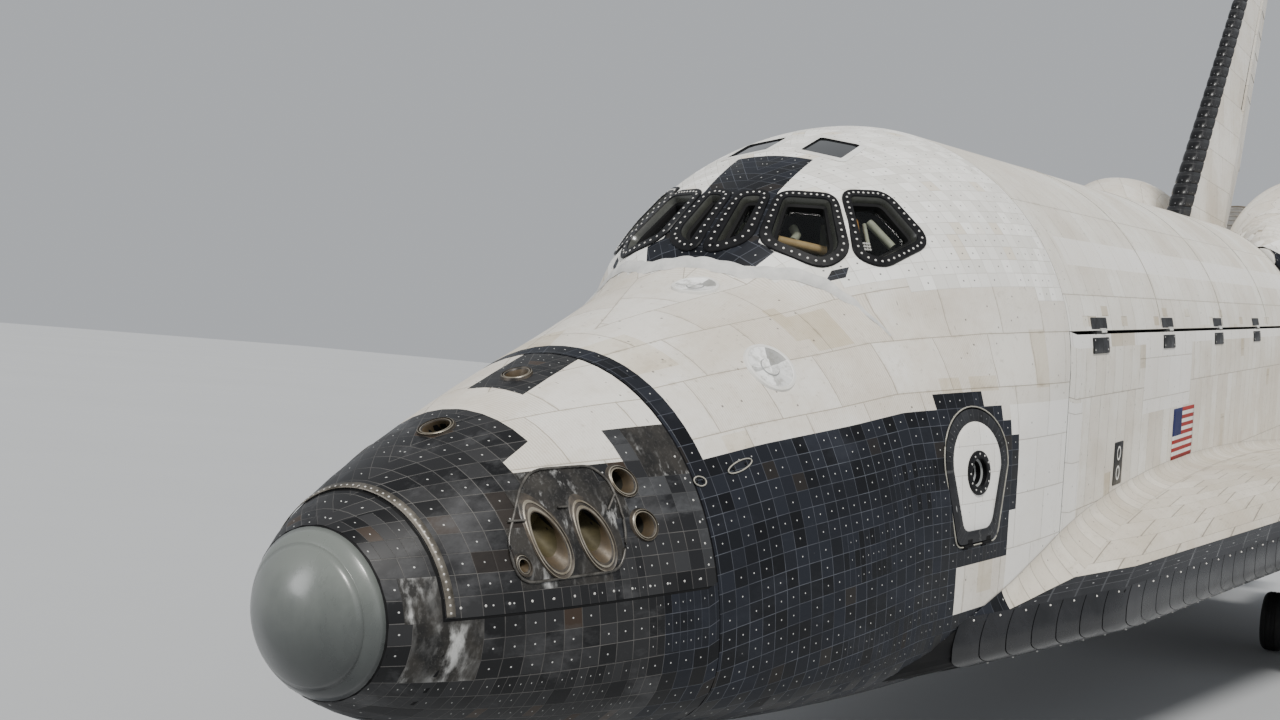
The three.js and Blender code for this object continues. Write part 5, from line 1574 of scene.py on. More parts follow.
def build_side_details():
    for side, name in side_names():
        covers, dots = [], []
        for y in DOOR_HINGES:
            covers.append(flat_plate(box_outline(y - HINGE_HALF, y + HINGE_HALF, 3.26, 3.44), 0.010, side))
            for dy, z in ((-0.29, 3.30), (0.29, 3.30), (-0.29, 3.41), (0.29, 3.41)):
                dots.append((side_point(side, y + dy, z, 0.009), Vector((side, 0, 0))))
        joined(f"hinge_covers_{name}", covers)
        domes(f"hinge_cover_screws_{name}", dots, 0.014, RIVET)
        build_flag(side, name)
        parts = []
        y = SERVICE_PANEL_Y
        low = wing_z(section(y)[0], y, True) + 0.20
        parts.append(flat_plate(box_outline(y - 0.21, y + 0.21, low, low + 0.52), 0.006, side))
        profile = [(0.09, 0), (0.088, 0.008), (0.066, 0.008), (0.062, 0.002), (0.0, 0.002)]
        for z in (low + 0.38, low + 0.14):
            at, mats = side_point(side, y, z, 0.002), [WHITE_PAINT, DARK]
            parts.append(turned("ring", profile, at, (side, 0, 0), mats, 32, None, [0, 0, 0, 1]))
        joined(f"service_panel_{name}", parts)
        vents = []
        for y, z, long, tilt in ((3.02, 2.31, 0.06, 0), (3.50, 2.40, 0.15, 0.25)):
            outline = [(y + long * math.cos(a), z + 0.035 * math.sin(a) + long * math.cos(a) * tilt)
                       for a in circle(24)]
            path = [side_point(side, *p, 0.002) for p in outline]
            vents.append(tube("bead", path + path[:1], 0.006, SEAL, 6))
            for k in (-0.5, 0.5):
                at = side_point(side, y + long * k, z + long * k * tilt, 0)
                vents.append(domes("dot", [(at, Vector((side, 0, 0.2)).normalized())], 0.014, DARK, None))
        joined(f"small_vents_{name}", vents)


def build_flag(side, name):
    """A panel of red and white stripes with a blue corner."""
    rows, columns = 13, 10
    verts, faces, picks = [], [], []
    for i in range(columns + 1):
        for j in range(rows + 1):
            verts.append(side_point(side, lerp(14.45, 15.85, i / columns), lerp(2.40, 1.68, j / rows), 0.003))
    for i in range(columns):
        for j in range(rows):
            a = i * (rows + 1) + j
            quad = (a, a + 1, a + rows + 2, a + rows + 1)
            faces.append(quad if side > 0 else quad[::-1])
            picks.append(2 if i < 4 and j < 7 else j % 2)
    piece = add_object(f"striped_panel_{name}", verts, faces, [RED, WHITE_PAINT, BLUE], picks)
    thicken(piece, 0.006, 1.0)


def bay_point(radius, angle, y):
    return radius * math.cos(angle), y, BAY_AXIS_Z + radius * math.sin(angle)


def build_bay():
    """Frames across the open bay, and rails along it."""
    profile = [(2.335, -0.06), (2.335, 0.06), (2.21, 0.06), (2.21, 0.045), (2.31, 0.045), (2.31, -0.045),
               (2.21, -0.045), (2.21, -0.06)]
    frames, rails = [], []
    for y in steps(9.4, 26.6, 1.3):
        angles = np.radians(np.linspace(180, 360, 31))
        rings = [[bay_point(r, a, y + dy) for r, dy in profile] for a in angles]
        frames.append(loft("frame", rings, [GREY_PAINT], body=None, sharp=30))
    joined("bay_frames", frames)
    for side in (1, -1):
        for angle, size in ((0, 0.05), (-35, 0.03), (-65, 0.03)):
            a = math.radians(angle if side > 0 else 180 - angle)
            ends = [bay_point(2.27, a, y) for y in (BAY_FRONT + 0.2, BAY_BACK - 0.2)]
            rails.append(tube("rail", ends, size, STEEL, 8))
    joined("bay_longerons", rails)


# Wings

WING_BREAK = (5.055, 20.218)
STRAKE_SLOPE = 1 / math.tan(math.radians(9))
STRAKE_BEND = (3.3, 3.24)
HINGE_Y = 29.185
MAIN_WELL = ((2.78, 20.30, -0.6), (4.42, 24.45, 0.85))


def leading_y(x):
    if x >= WING_BREAK[0]:
        return WING_BREAK[1] + x - WING_BREAK[0]
    if x >= STRAKE_BEND[0]:
        return WING_BREAK[1] - (WING_BREAK[0] - x) * STRAKE_SLOPE
    bend_y = WING_BREAK[1] - (WING_BREAK[0] - STRAKE_BEND[0]) * STRAKE_SLOPE
    return bend_y - (STRAKE_BEND[0] - x) * STRAKE_BEND[1]


def trailing_y(x):
    return 32.156 - (x - 2.972) * 0.1773


def wing_thickness(x):
    return table(x, [(2.667, 1.524), (5.055, 1.270), (HALF_SPAN, 0.419)])


def wing_middle(x):
    return table(x, [(2.667, 0.457), (HALF_SPAN, 0.686)])


def fullness(c):
    return 10 * (0.2969 * math.sqrt(c) - 0.126 * c - 0.3516 * c**2 + 0.2843 * c**3 - 0.1036 * c**4)


def wing_z(x, y, top, out=0.008):
    c = clamp((y - leading_y(x)) / (trailing_y(x) - leading_y(x)))
    share = 0.7 if top else -0.3
    return wing_middle(x) + share * wing_thickness(x) * fullness(c) + (out if top else -out)


def hinge_half(x):
    return (wing_z(x, HINGE_Y, True, 0) - wing_z(x, HINGE_Y, False, 0)) / 2


def hinge_z(x):
    return (wing_z(x, HINGE_Y, True, 0) + wing_z(x, HINGE_Y, False, 0)) / 2


def cove_y(x):
    return HINGE_Y - hinge_half(x) - 0.03


# (width, root of the chord share that the carbon edge reaches) on the upper and lower sides
EDGE_TOP = [(2.3, 0.10), (4.7, 0.10), (5.3, 0.30), (8, 0.33), (HALF_SPAN, 0.53)]
EDGE_LOW = [(2.3, 0.19), (4.7, 0.19), (5.3, 0.30), (8, 0.33), (HALF_SPAN, 0.53)]


def edge_y(x, top):
    c = table(x, EDGE_TOP if top else EDGE_LOW) ** 2
    return lerp(leading_y(x), trailing_y(x), c)


def wing_cut(x, top, points=60):
    ys = [lerp(edge_y(x, top) + 0.004, cove_y(x), (k / points) ** 1.4) for k in range(points + 1)]
    line = [(x, y, wing_z(x, y, top)) for y in ys]
    if top:
        return Cut(x, line)
    return Cut(x, line[::-1], sum(math.dist(a, b) for a, b in zip(line, line[1:])))


def wing_top_zone(side, x, v, *_):
    if v < 0.45 and x < 5:
        return 1
    if v < 0.6 and x > 5.4:
        return 3
    return 0 if x < 5.4 else 2


def wing_low_zone(*_):
    return 1 if random.random() < 0.06 else 0


def build_wings():
    places = steps(2.2, 3.3, 0.1)[:-1] + steps(3.3, HALF_SPAN - 0.004, 0.3)
    cuts_top, cuts_low = ([wing_cut(x, top) for x in places] for top in (True, False))
    mats = [GLOVE_BLANKET, GLOSS_TILE, BLANKET, WHITE_TILE]
    top = sheet("wing_upper_skin", cuts_top, mats, wing_top_zone)
    low = sheet("wing_lower_skin", cuts_low, [BLACK_TILE, DEEP_TILE], wing_low_zone)
    wings = cad_tree("wing_left", "wing_right")
    for obj, up in ((top, 1), (low, -1)):
        lifted(face_out(obj, lambda at: Vector((0, 0, up)), placed=True), wings, 0.003, 0.05)
    (x0, y0, z0), (x1, y1, z1) = MAIN_WELL
    trim(low, (x0, y0, z0), (x1, y1, z1))
    trim(low, (-x1, y0, z0), (-x0, y1, z1))
    for obj in (top, low):
        sharpen(obj, 50)
    for side, name in side_names("wing_leading_edge_"):
        build_edge(side, name)
    x = HALF_SPAN + 0.004
    ys = [lerp(edge_y(x, True), cove_y(x), k / 40) for k in range(41)]
    for side, name in side_names("wing_tip_skin_"):
        rim = [[(side * x, y, wing_z(x, y, top, 0.006)) for top in (True, False)] for y in ys]
        ring_mesh(name, rim, [BLANKET], closed=False, uvs=[(k / 3, j) for k in range(41) for j in (0, 2)])
    # Painted shade: the solids under the wing skins are near black, as they show only in the gaps.
    paint_cad(DARK, "wing_left", "wing_right", "wing_leading_edge_left", "wing_leading_edge_right")
    for part, x0, x1 in (("inboard", 3.150, 7.910), ("outboard", 7.940, 11.880)):
        for side, name in side_names(f"elevon_{part}_"):
            build_elevon(side, name, x0, x1)
    build_fillets()


def face_out(obj, way_at, placed=False):
    """Turns a sheet's faces to look along the way that is given for their middles."""

    def change(bm):
        bm.normal_update()
        wrong = [f for f in bm.faces if f.normal.dot(way_at(f.calc_center_median())) < 0]
        bmesh.ops.reverse_faces(bm, faces=wrong)

    return reshape(obj, change, placed)


def edge_ring(side, x, ahead, proud):
    """The carbon edge's outline at a width, from its upper end round the front to its lower end."""
    ring = []
    for top, shares in ((True, np.linspace(1, 0, 10)), (False, np.linspace(0.1, 1, 9))):
        deep = table(x, EDGE_TOP if top else EDGE_LOW)
        for q in shares:
            y = lerp(leading_y(x), trailing_y(x), (q * deep) ** 2)
            step = ahead * (1 - q)
            shift = 0 if x > WING_BREAK[0] else step
            ring.append((side * (x + shift), y - step, wing_z(x, y, top, proud * (q > 0))))
    return ring


def build_edge(side, name):
    """Carbon segments round the wing's front, with a small step at each joint."""
    places = [2.42]
    while places[-1] < HALF_SPAN - 0.05:
        x = places[-1]
        run = 0.42 if x > WING_BREAK[0] else 0.42 / (STRAKE_SLOPE if x > STRAKE_BEND[0] else STRAKE_BEND[1])
        places.append(min(HALF_SPAN, x + run))
    parts, dots = [], []
    uvs = [(i, j) for i in range(3) for j in range(19)]
    for a, b in zip(places, places[1:]):
        gap = (b - a) * 0.02
        rings = [edge_ring(side, x, 0.012, 0.018) for x in (a + gap, lerp(a, b, 0.5), b - gap)]
        segment = ring_mesh("segment", rings, [WING_CARBON], closed=False, body=None, uvs=uvs)
        parts.append(sharpen(thicken(segment, 0.012, -side), 30))
        for k in (1, 17):
            at = Vector(rings[1][k])
            dots.append((at, (at - Vector((at.x, at.y + 0.3, wing_middle(abs(at.x))))).normalized()))
    # Painted shade: a dark sheet just under the segments, which shows in the gaps between them.
    shadow = [edge_ring(side, x, 0, 0.004) for x in steps(2.42, HALF_SPAN - 0.01, 0.1)]
    parts.append(ring_mesh("joint", shadow, [DARK], closed=False, body=None))
    joined(f"{name}_segments", parts)
    domes(f"{name}_bolts", dots, 0.014, RIVET, height=0.3)


def build_elevon(side, name, x0, x1):
    rings, uvs = [], []
    for x in steps(x0, x1, 0.3):
        r, middle = hinge_half(x) - 0.002, hinge_z(x)
        angles = np.radians(np.linspace(90, 270, 15))
        points = [(HINGE_Y + r * math.cos(a), middle + r * math.sin(a)) for a in angles]
        low, high = ((trailing_y(x), wing_middle(x) + h) for h in (-0.018, 0.018))
        line = points + [lerp_pair(points[-1], low, t) for t in (0.25, 0.5, 0.75, 1)]
        line += [lerp_pair(high, points[0], t) for t in (0, 0.25, 0.5, 0.75)]
        rings.append([(side * x, y, z) for y, z in line])
        uvs += [(x / TILE, y / TILE) for y, z in line]
    pick = lambda x, y, z: 0 if z > wing_middle(abs(x)) + 0.02 else 1
    obj = loft(f"{name}_skin", rings, [BLANKET, BLACK_TILE], uvs, pick, name, 30)
    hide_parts(name)
    ribs = []
    for x in steps(x0 + 0.4, x1 - 0.4, 0.8):
        path = []
        for y in np.linspace(HINGE_Y + 0.05, trailing_y(x) - 0.05, 8):
            share = (y - HINGE_Y) / (trailing_y(x) - HINGE_Y)
            z = lerp(hinge_z(x) + hinge_half(x), wing_middle(x) + 0.018, share)
            path.append((side * x, y, z + 0.004))
        ribs.append(tube("rib", path, 0.006, SEAL, 6))
    joined(f"{name}_ribs", ribs, name)


def build_fillets():
    """A curved strip along the joint of each wing and the fuselage."""
    rings, uvs = [], []
    stations = steps(6.3, 29.0, 0.2)
    bend_y = leading_y(STRAKE_BEND[0])
    for y in stations:
        w = section(y)[0] + 0.004
        edge = STRAKE_BEND[0] - (bend_y - y) / STRAKE_BEND[1] if y < bend_y else 9.0
        wide = clamp((edge - w - 0.02) * 0.6, 0.012, 0.30)
        base = wing_z(w, y, True, 0.012)
        foot = Vector((w + wide, y, wing_z(w + wide, y, True, 0.012)))
        head_z = base + clamp(wide * 0.5, 0.012, 0.15)
        head = side_point(1, y, head_z, 0.004)
        corner = Vector((head.x + 0.004, y, lerp(base, head_z, 0.08)))
        shares = [float(t) for t in np.linspace(0, 1, 7)]
        rings.append([head * (1 - t) ** 2 + corner * 2 * t * (1 - t) + foot * t**2 for t in shares])
        uvs += [(y / TILE, t * wide * 1.5 / TILE) for t in shares]
    picks = [0 if y > 7.25 else 1 for y in stations[:-1]]
    strip = ring_mesh("wing_fillet_left", rings, [GLOVE_BLANKET, BLACK_TILE], picks, closed=False, uvs=uvs)
    mirrored(strip, "wing_fillet_right")


# Fin and rudder

FIN_ROOT, FIN_TIP = 5.66, 13.614
RUDDER_HINGE = ((32.36, 8.56), (35.941, 13.614))


def fin_share(z):
    return (z - FIN_ROOT) / (FIN_TIP - FIN_ROOT)


def fin_front(z):
    return lerp(26.44, 34.468, fin_share(z))


def fin_half(z):
    return lerp(0.39, 0.16, fin_share(z))


def fin_ring(z, out):
    """The fin's front edge at a height, out metres proud of it."""
    h = fin_half(z)
    profile = [(0, 0), (0.02, 0.2 * h), (0.06, 0.36 * h), (0.42, 0.63 * h)]
    backs = [0.42, 0.3, 0.18, 0.1, 0.05, 0.02, 0.0]
    ring = []
    for side, back in [(1, b) for b in backs] + [(-1, b) for b in backs[-2::-1]]:
        x = table(back, profile) + out * (back > 0)
        ring.append((side * x, fin_front(z) + back - out * (1 - back), z))
    return ring


def build_fin():
    segments = []
    heights = steps(5.70, FIN_TIP - 0.01, 0.27)
    uvs = [(j * 0.4, i * 0.4) for i in range(5) for j in range(13)]
    for a, b in zip(heights, heights[1:]):
        rings = [fin_ring(lerp(a, b, t), out)
                 for t, out in ((0.02, 0.012), (0.12, 0.026), (0.5, 0.032), (0.88, 0.026), (0.98, 0.012))]
        segments.append(ring_mesh("segment", rings, [FIN_EDGE], closed=False, body=None, uvs=uvs, sharp=60))
    # Painted shade: a dark sheet under the ribbed segments, which shows in the gaps between them.
    rings = [fin_ring(z, 0.008) for z in (heights[0], heights[-1])]
    segments.append(ring_mesh("joint", rings, [DARK], closed=False, body=None))
    joined("fin_leading_edge", segments)
    cap = []
    for t in np.linspace(0, 1, 13):
        y = lerp(fin_front(FIN_TIP) + 0.05, RUDDER_HINGE[1][0] - 0.35, t)
        w = table(t, [(0, 0.08), (0.2, 0.12), (1, 0.17)])
        half = [(w, -0.10), (w, 0.004), (w * 0.6, 0.02)]
        cap.append([(x, y, FIN_TIP + z) for x, z in half + [(-x, z) for x, z in half[::-1]]])
    ring_mesh("fin_tip_cap", cap, [SIDE_TILE], closed=False)
    paint_cad(SIDE_BLANKET, "vertical_fin", "rudder_panel_left", "rudder_panel_right")
    paint_cad(SIDE_TILE, "rudder_drum")
    for side, name in side_names("rudder_panel_"):
        ribs = []
        for t in np.linspace(0.12, 0.96, 8):
            y, z = lerp_pair(*RUDDER_HINGE, t)
            tail = lerp(33.262, 37.236, fin_share(z))
            path = []
            for place in np.linspace(y + fin_half(z) + 0.16, tail - 0.06, 6):
                w = lerp(fin_half(z), 0.025, (place - y) / (tail - y))
                path.append((side * (w + 0.003), place, z))
            ribs.append(tube("rib", path, 0.006, SEAL, 6))
        joined(f"{name}_ribs", ribs, name)


# Pods and engines

# station, middle across, middle height, half width and half height of the port pod
POD = [
    (27.18, 1.75, 4.85, 0.25, 0.26),
    (27.7, 1.9, 5.04, 0.88, 0.82),
    (28.6, 2.03, 5.17, 1.24, 1.26),
    (29.9, 2.13, 5.29, 1.40, 1.52),
    (31.5, 2.23, 5.34, 1.47, 1.57),
    (32.9, 2.235, 5.385, 1.42, 1.45),
    (33.6, 2.235, 5.385, 1.18, 1.18),
]
POD_COLUMNS = np.array(POD).T
POD_FORM = Curve(POD_COLUMNS[0], POD_COLUMNS[3:])
POD_FRONT, POD_BACK = 27.2, 33.59
POD_FOOT = 4.1
OMS_BASE = (2.235, 33.6, 5.385)  # where the port orbital engine stands on its pod
# name, origin, pitch and yaw
ENGINES = [
    ("upper", (0.0, 30.658, 4.14), 16, 0),
    ("left", (1.346, 31.246, 1.591), 10, 3.5),
    ("right", (-1.346, 31.246, 1.591), 10, -3.5),
]


def pod_section(y):
    """Middle across, middle height, half width and half height. The halves don't fall inside the solid's."""
    straight = [float(np.interp(y, POD_COLUMNS[0], values)) for values in POD_COLUMNS[1:]]
    return straight[:2] + [max(pair) for pair in zip(POD_FORM.at(y), straight[2:])]


def engine_way(pitch, yaw):
    p, w = math.radians(pitch), math.radians(yaw)
    return Vector((math.sin(w) * math.cos(p), math.cos(w) * math.cos(p), math.sin(p)))


def in_sweep(point):
    """Whether a point lies in the space that the upper engine sweeps through."""
    _, at, pitch, yaw = ENGINES[0]
    way = engine_way(pitch, yaw)
    off = Vector(point) - Vector(at)
    d = off.dot(way)
    r = (off - way * d).length
    return (1.3 < d < 4.6 and r < lerp(1.16, 2.55, (d - 1.3) / 3.3) + 0.02) or (-0.3 < d <= 1.36 and r < 1.2)


def pod_zone(side, y, v, x, z):
    if in_sweep((abs(x), y, z)):
        return None
    if v < 0.75 and y < 29.2:
        return 1
    return 2 if y > 33.2 or (y < 28.4 and v < 1.2) else 0


def pod_ring(side, y, angles, share=1.0, out=0.0, at=None):
    """A pod's outline at a station, or moved from there to another."""
    x, z, a, b = pod_section(y)
    at = y if at is None else at
    a, b = (a + out) * share, (b + out) * share
    return [(side * (x + a * math.cos(q)), at, z + b * math.sin(q)) for q in angles]


def pod_cut(y):
    _, z, _, b = pod_section(y)
    low = math.asin(clamp((POD_FOOT - z) / b, -1, 1))
    return Cut(y, pod_ring(1, y, np.linspace(low, math.pi - low, 90), out=0.008))


def build_pods():
    cuts = [pod_cut(y) for y in steps(POD_FRONT, POD_BACK, 0.15)]
    for side, name in side_names("oms_pod_"):

        def from_middle(at):
            x, z, _, _ = pod_section(clamp(at.y, POD_FRONT, POD_BACK))
            return Vector((at.x - side * x, 0, at.z - z))

        pod = sheet(f"{name}_skin", cuts, [BLANKET, BLACK_TILE, WHITE_TILE], pod_zone, sides=(side,))
        lifted(face_out(pod, from_middle), cad_tree(name), reach=0.08)
        front = []
        for t in (0.0, 0.2, 0.4, 0.6, 0.8, 1.0):
            share = math.sqrt(1 - (0.98 * t) ** 2)
            front.append(pod_ring(side, POD_FRONT, circle(40), share, 0.008, POD_FRONT - 0.06 * t**1.5))
        uvs = [(j / 3, i / 3) for i in range(6) for j in range(40)]
        lifted(ring_mesh(f"{name}_nose", front, [BLANKET], uvs=uvs), cad_tree(name), reach=0.03)
        rings = []
        profile = [(1.008, -0.02), (1.006, 0.012), (0.97, 0.03), (0.93, 0.02), (0.5, 0.02), (0.16, 0.02)]
        for share, dy in profile:
            ring = pod_ring(side, POD_BACK, circle(60), share, at=OMS_BASE[1] + dy)
            rings.append([(x, y, max(POD_FOOT, z)) for x, y, z in ring])
        uvs = [(j / 3, i) for i in range(6) for j in range(60)]
        back = thicken(ring_mesh(f"{name}_base", rings, [BASE_TILE], uvs=uvs), 0.015)
        _, at, pitch, yaw = ENGINES[0]
        cone = turned("sweep_cut", [(1.20, 1.3), (2.60, 4.6)], at, engine_way(pitch, yaw), DARK, 64, None)
        cut_out(back, [cone])
        x, z, _, _ = pod_section(POD_BACK)
        thrusters = []
        for dx, dz, r in ((0.55, 0.75, 0.09), (0.95, 0.1, 0.09), (-0.2, 0.9, 0.09), (0.75, -0.5, 0.06)):
            at = (side * (x + dx), OMS_BASE[1] + 0.015, z + dz)
            shape = [(1.3, 0), (1.25, 0.02), (1, 0.03), (0.9, 0.0), (0.75, -0.01), (0, -0.01)]
            # The mouths' insides are near black as painted shade.
            profile, kinds = [(r * share, d) for share, d in shape], [0, 0, 0, 1, 1]
            thrusters.append(turned("thruster", profile, at, (0, 1, 0), [RIM, DARK], 28, None, kinds))
        joined(f"{name}_thrusters", thrusters)
        build_oms_engine(side, name.replace("pod", "engine"))
    paint_cad(POD_BLANKET, "oms_pod_left", "oms_pod_right")


def build_oms_engine(side, name):
    base = Vector((side * OMS_BASE[0], *OMS_BASE[1:]))
    throat = base + Vector((0, 0.045, 0))
    way = Vector((side * math.sin(math.radians(6)), math.cos(math.radians(6)), 0.12)).normalized()
    outer = [(0.20, 0.01), (0.20, 0.15), (0.13, 0.20), (0.12, 0.26), (0.19, 0.38), (0.27, 0.52), (0.35, 0.70),
             (0.42, 0.90), (0.48, 1.10), (0.53, 1.29), (0.55, 1.42), (0.565, 1.44), (0.565, 1.50)]
    inner = [(0.53, 1.50), (0.515, 1.40), (0.49, 1.28), (0.44, 1.08), (0.38, 0.90), (0.30, 0.70),
             (0.23, 0.54), (0.12, 0.42), (0.0, 0.41)]
    kinds = [0] * (len(outer) - 1) + [1] * len(inner)
    parts = [turned("bell", outer + inner, throat, way, [SCORCHED, NOZZLE_INSIDE], 64, None, kinds)]
    for d in (0.6, 0.85, 1.1, 1.35):
        r = table(d, [(0.52, 0.27), (0.9, 0.42), (1.29, 0.53), (1.5, 0.56)])
        parts.append(hoop(throat + way * d, way, r + 0.004, 0.012, SCORCHED))
    for a in circle(3):
        ends = [base + across(way, a, 0.19) + way * 0.06, base + across(way, a, 0.2) + way * 0.42]
        parts.append(tube("strut", ends, 0.02, STEEL, 8))
    piece = joined(name + "_bell", parts)
    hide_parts(name)


# The radii of a main engine's bell at distances from its gimbal
BELL_FORM = Curve([1.33, 1.56, 1.90, 2.35, 2.95, 3.60, 4.267], [[0.25, 0.43, 0.66, 0.85, 1.01, 1.12, 1.19]])
# angle about the axis, radius, and both ends' distances from the gimbal
PUMPS = [(0.4, 0.16, 0.55, 1.22), (2.6, 0.17, 0.5, 1.25), (4.3, 0.12, 0.6, 1.2), (5.4, 0.12, 0.6, 1.1)]


def bell_radius(d):
    return BELL_FORM.at(d)[0]


def build_engines():
    for name, at, pitch, yaw in ENGINES:
        at, way = Vector(at), engine_way(pitch, yaw)
        head = [(0.0, 0.155), (0.3, 0.155), (0.36, 0.30), (0.43, 0.42), (0.50, 0.55), (0.52, 0.70),
                (0.52, 0.95), (0.48, 1.15), (0.36, 1.25), (0.27, 1.33)]
        outer = [(bell_radius(d), d) for d in np.linspace(1.36, 4.2, 26)] + [(1.19, 4.21), (1.19, 4.267)]
        inner = [(bell_radius(d) - 0.05, d) for d in np.linspace(4.1, 1.75, 16)]
        inner = [(1.14, 4.267), (1.13, 4.2), *inner, (0.13, 1.50), (0.0, 1.48)]
        kinds = [2] * (len(head) - 1) + [0] * len(outer) + [1] * len(inner)
        mats = [BRIGHT_METAL, NOZZLE_INSIDE, SCORCHED]
        parts = [turned("bell", head + outer + inner, at, way, mats, 72, None, kinds)]
        for d in (1.75, 2.0, 2.3, 2.6, 2.9, 3.2, 3.5, 3.8, 4.08):
            parts.append(hoop(at + way * d, way, bell_radius(d) + 0.004, 0.022, BRIGHT_METAL))
        parts.append(hoop(at + way * 4.22, way, 1.185, 0.03, SCORCHED))
        parts.append(hoop(at + way * 1.62, way, 0.52, 0.05, SCORCHED, 48))
        for a in circle(3, 0.25):
            path = [at + way * d + across(way, a, bell_radius(d) + 0.03) for d in np.linspace(1.7, 4.15, 14)]
            parts.append(tube("feed", path, 0.035, BRIGHT_METAL, 10))
        for a, r, d0, d1 in PUMPS:
            pump = [(0.0, d0 - 0.03), (r * 0.7, d0), (r, d0 + 0.08), (r, d1 - 0.15), (r * 0.8, d1 - 0.08),
                    (r * 0.85, d1), (0, d1 + 0.02)]
            parts.append(turned("pump", pump, at + across(way, a, 0.36), way, [STEEL], 28, None, [0] * 6))
            bends = [at + across(way, a, out) + way * (d1 + d)
                     for out, d in ((0.42, 0), (0.45, 0.12), (0.38, 0.3))]
            parts.append(tube("duct", bends, 0.045, STEEL, 10))
        piece = joined(f"engine_{name}_bell", parts, f"engine_{name}")
        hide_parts(f"engine_{name}")
        build_engine_shield(name, at, way)
        paint_cad(STEEL, f"engine_{name}_gimbal")


def build_engine_shield(name, at, way):
    """The ring at the mouth of an engine's barrel, with a ring of bolts."""
    profile = [(1.155, 1.10), (1.158, 1.30), (1.14, 1.345), (1.08, 1.352), (1.0, 1.34), (0.9, 1.32),
               (0.87, 1.27), (0.866, 1.0)]
    ring = turned("ring", profile, at, way, [BASE_TILE, GREY_PAINT], 64, None, [0, 0, 0, 0, 0, 1, 1])
    bolts = [(p, way) for p in circle_points(at + way * 1.35, way, 1.06, 36)]
    joined(f"engine_shield_{name}", [ring, domes("bolts", bolts, 0.02, RIVET, None)])


# Landing gear

NOSE_LEG_Y = 3.531
MAIN_LEG = (3.454, 23.724)


def build_wheels(name, at, half, r, width, axle):
    """Two tyres with grooves on pale hubs, and their axle."""
    parts = []
    inner, outer = half - width / 2, half + width / 2
    # (share of the radius, share of the width, further way in) from the hub to the tread
    shoulder = [(0.60, 0, 0.012), (0.74, 0, 0.002), (0.86, 0.03, 0), (0.94, 0.10, 0), (0.985, 0.20, 0),
                (0.995, 0.27, 0)]
    tread = [(r * share, inner + width * deep + more) for share, deep, more in shoulder]
    for g in (0.32, 0.5, 0.68):
        c = inner + width * g
        tread += [(r, c - 0.016), (r - 0.012, c - 0.010), (r - 0.012, c + 0.010), (r, c + 0.016)]
    tread += [(r * share, outer - width * deep - more) for share, deep, more in shoulder[::-1]]
    hub = [(axle, inner + 0.03), (r * 0.4, inner + 0.03), (r * 0.58, inner + 0.02), (r * 0.60, inner + 0.012)]
    dish = [(0.60, 0.012), (0.585, 0.008), (0.56, 0.03), (0.50, 0.07), (0.34, 0.075), (0.30, 0.04),
            (0.2, 0.03), (0.18, 0.012), (0.0, 0.012)]
    face = [(r * share, outer - deep) for share, deep in dish]
    for s in (1, -1):
        way = (s, 0, 0)
        parts.append(turned("tyre", tread, at, way, [RUBBER], 64, None, [0] * (len(tread) - 1)))
        parts.append(turned("hub", hub, at, way, [WHITE_PAINT], 48, None, [0] * 3))
        parts.append(turned("hub", face, at, way, [WHITE_PAINT, STEEL], 48, None, [0] * 5 + [1] * 3))
        bolts = []
        for a in circle(10):
            step = Vector((s * (outer - 0.072), math.cos(a) * r * 0.42, math.sin(a) * r * 0.42))
            bolts.append((Vector(at) + step, Vector(way)))
        parts.append(domes("bolts", bolts, r * 0.04, STEEL, None))
    bar = [(axle * 0.98, -half - width * 0.3), (axle * 0.98, half + width * 0.3)]
    parts.append(turned("axle", bar, at, (1, 0, 0), [STEEL], 32, None, [0]))
    piece = joined(f"{name}_pair", parts, name)
    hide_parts(name)


def build_gear():
    (x, y), nose_y = MAIN_LEG, NOSE_LEG_Y
    build_wheels("nose_wheels", (0, nose_y, -0.921), 0.28, 0.406, 0.224, 0.046)
    for side, name in side_names("main_wheels_"):
        build_wheels(name, (side * x, y, -2.174), 0.464, 0.565, 0.406, 0.076)
    paint_cad(WHITE_PAINT, "nose_gear_leg", "main_gear_leg_left", "main_gear_leg_right")
    paint_cad(STEEL, "nose_gear_piston")
    parts = [hoop(Vector((0, nose_y, z)), (0, 0, 1), 0.098, 0.012, STEEL, 24) for z in (-0.28, -0.05, 0.2)]
    for line in ([(0.11, 3.50, -0.3), (0.12, 3.46, 0.1), (0.11, 3.50, 0.6)],
                 [(-0.11, 3.56, -0.3), (-0.12, 3.60, 0.1), (-0.11, 3.56, 0.6)]):
        parts.append(tube("line", line, 0.012, RUBBER, 8))
    joined("nose_leg_fittings", parts)
    for side, name in side_names():
        parts = [hoop(Vector((side * x, y, z)), (0, 0, 1), 0.15, 0.016, STEEL, 28)
                 for z in (-1.2, -0.9, -0.5, -0.1)]
        bends = ((0.17, 23.70, -1.25), (0.175, 23.66, -0.6), (0.16, 23.70, 0.2))
        line = [(side * (x + out), at, z) for out, at, z in bends]
        parts.append(tube("line", line, 0.014, RUBBER, 8))
        link = [(side * x, 23.60, -1.40), (side * x, 23.36, -1.74), (side * x, 23.60, -2.05)]
        parts += [tube("link", ends, 0.03, STEEL, 8) for ends in (link[:2], link[1:])]
        joined(f"main_leg_fittings_{name}", parts)
        gear_door(side, f"nose_gear_door_{name}", (0.47, 0.06), 12, 0.045, (0.03, 0.55), (2.16, 4.69))
        gear_door(side, f"main_gear_door_{name}", (4.48, 0.26), 8, 0.07, (0.24, 2.09), (20.35, 24.40))


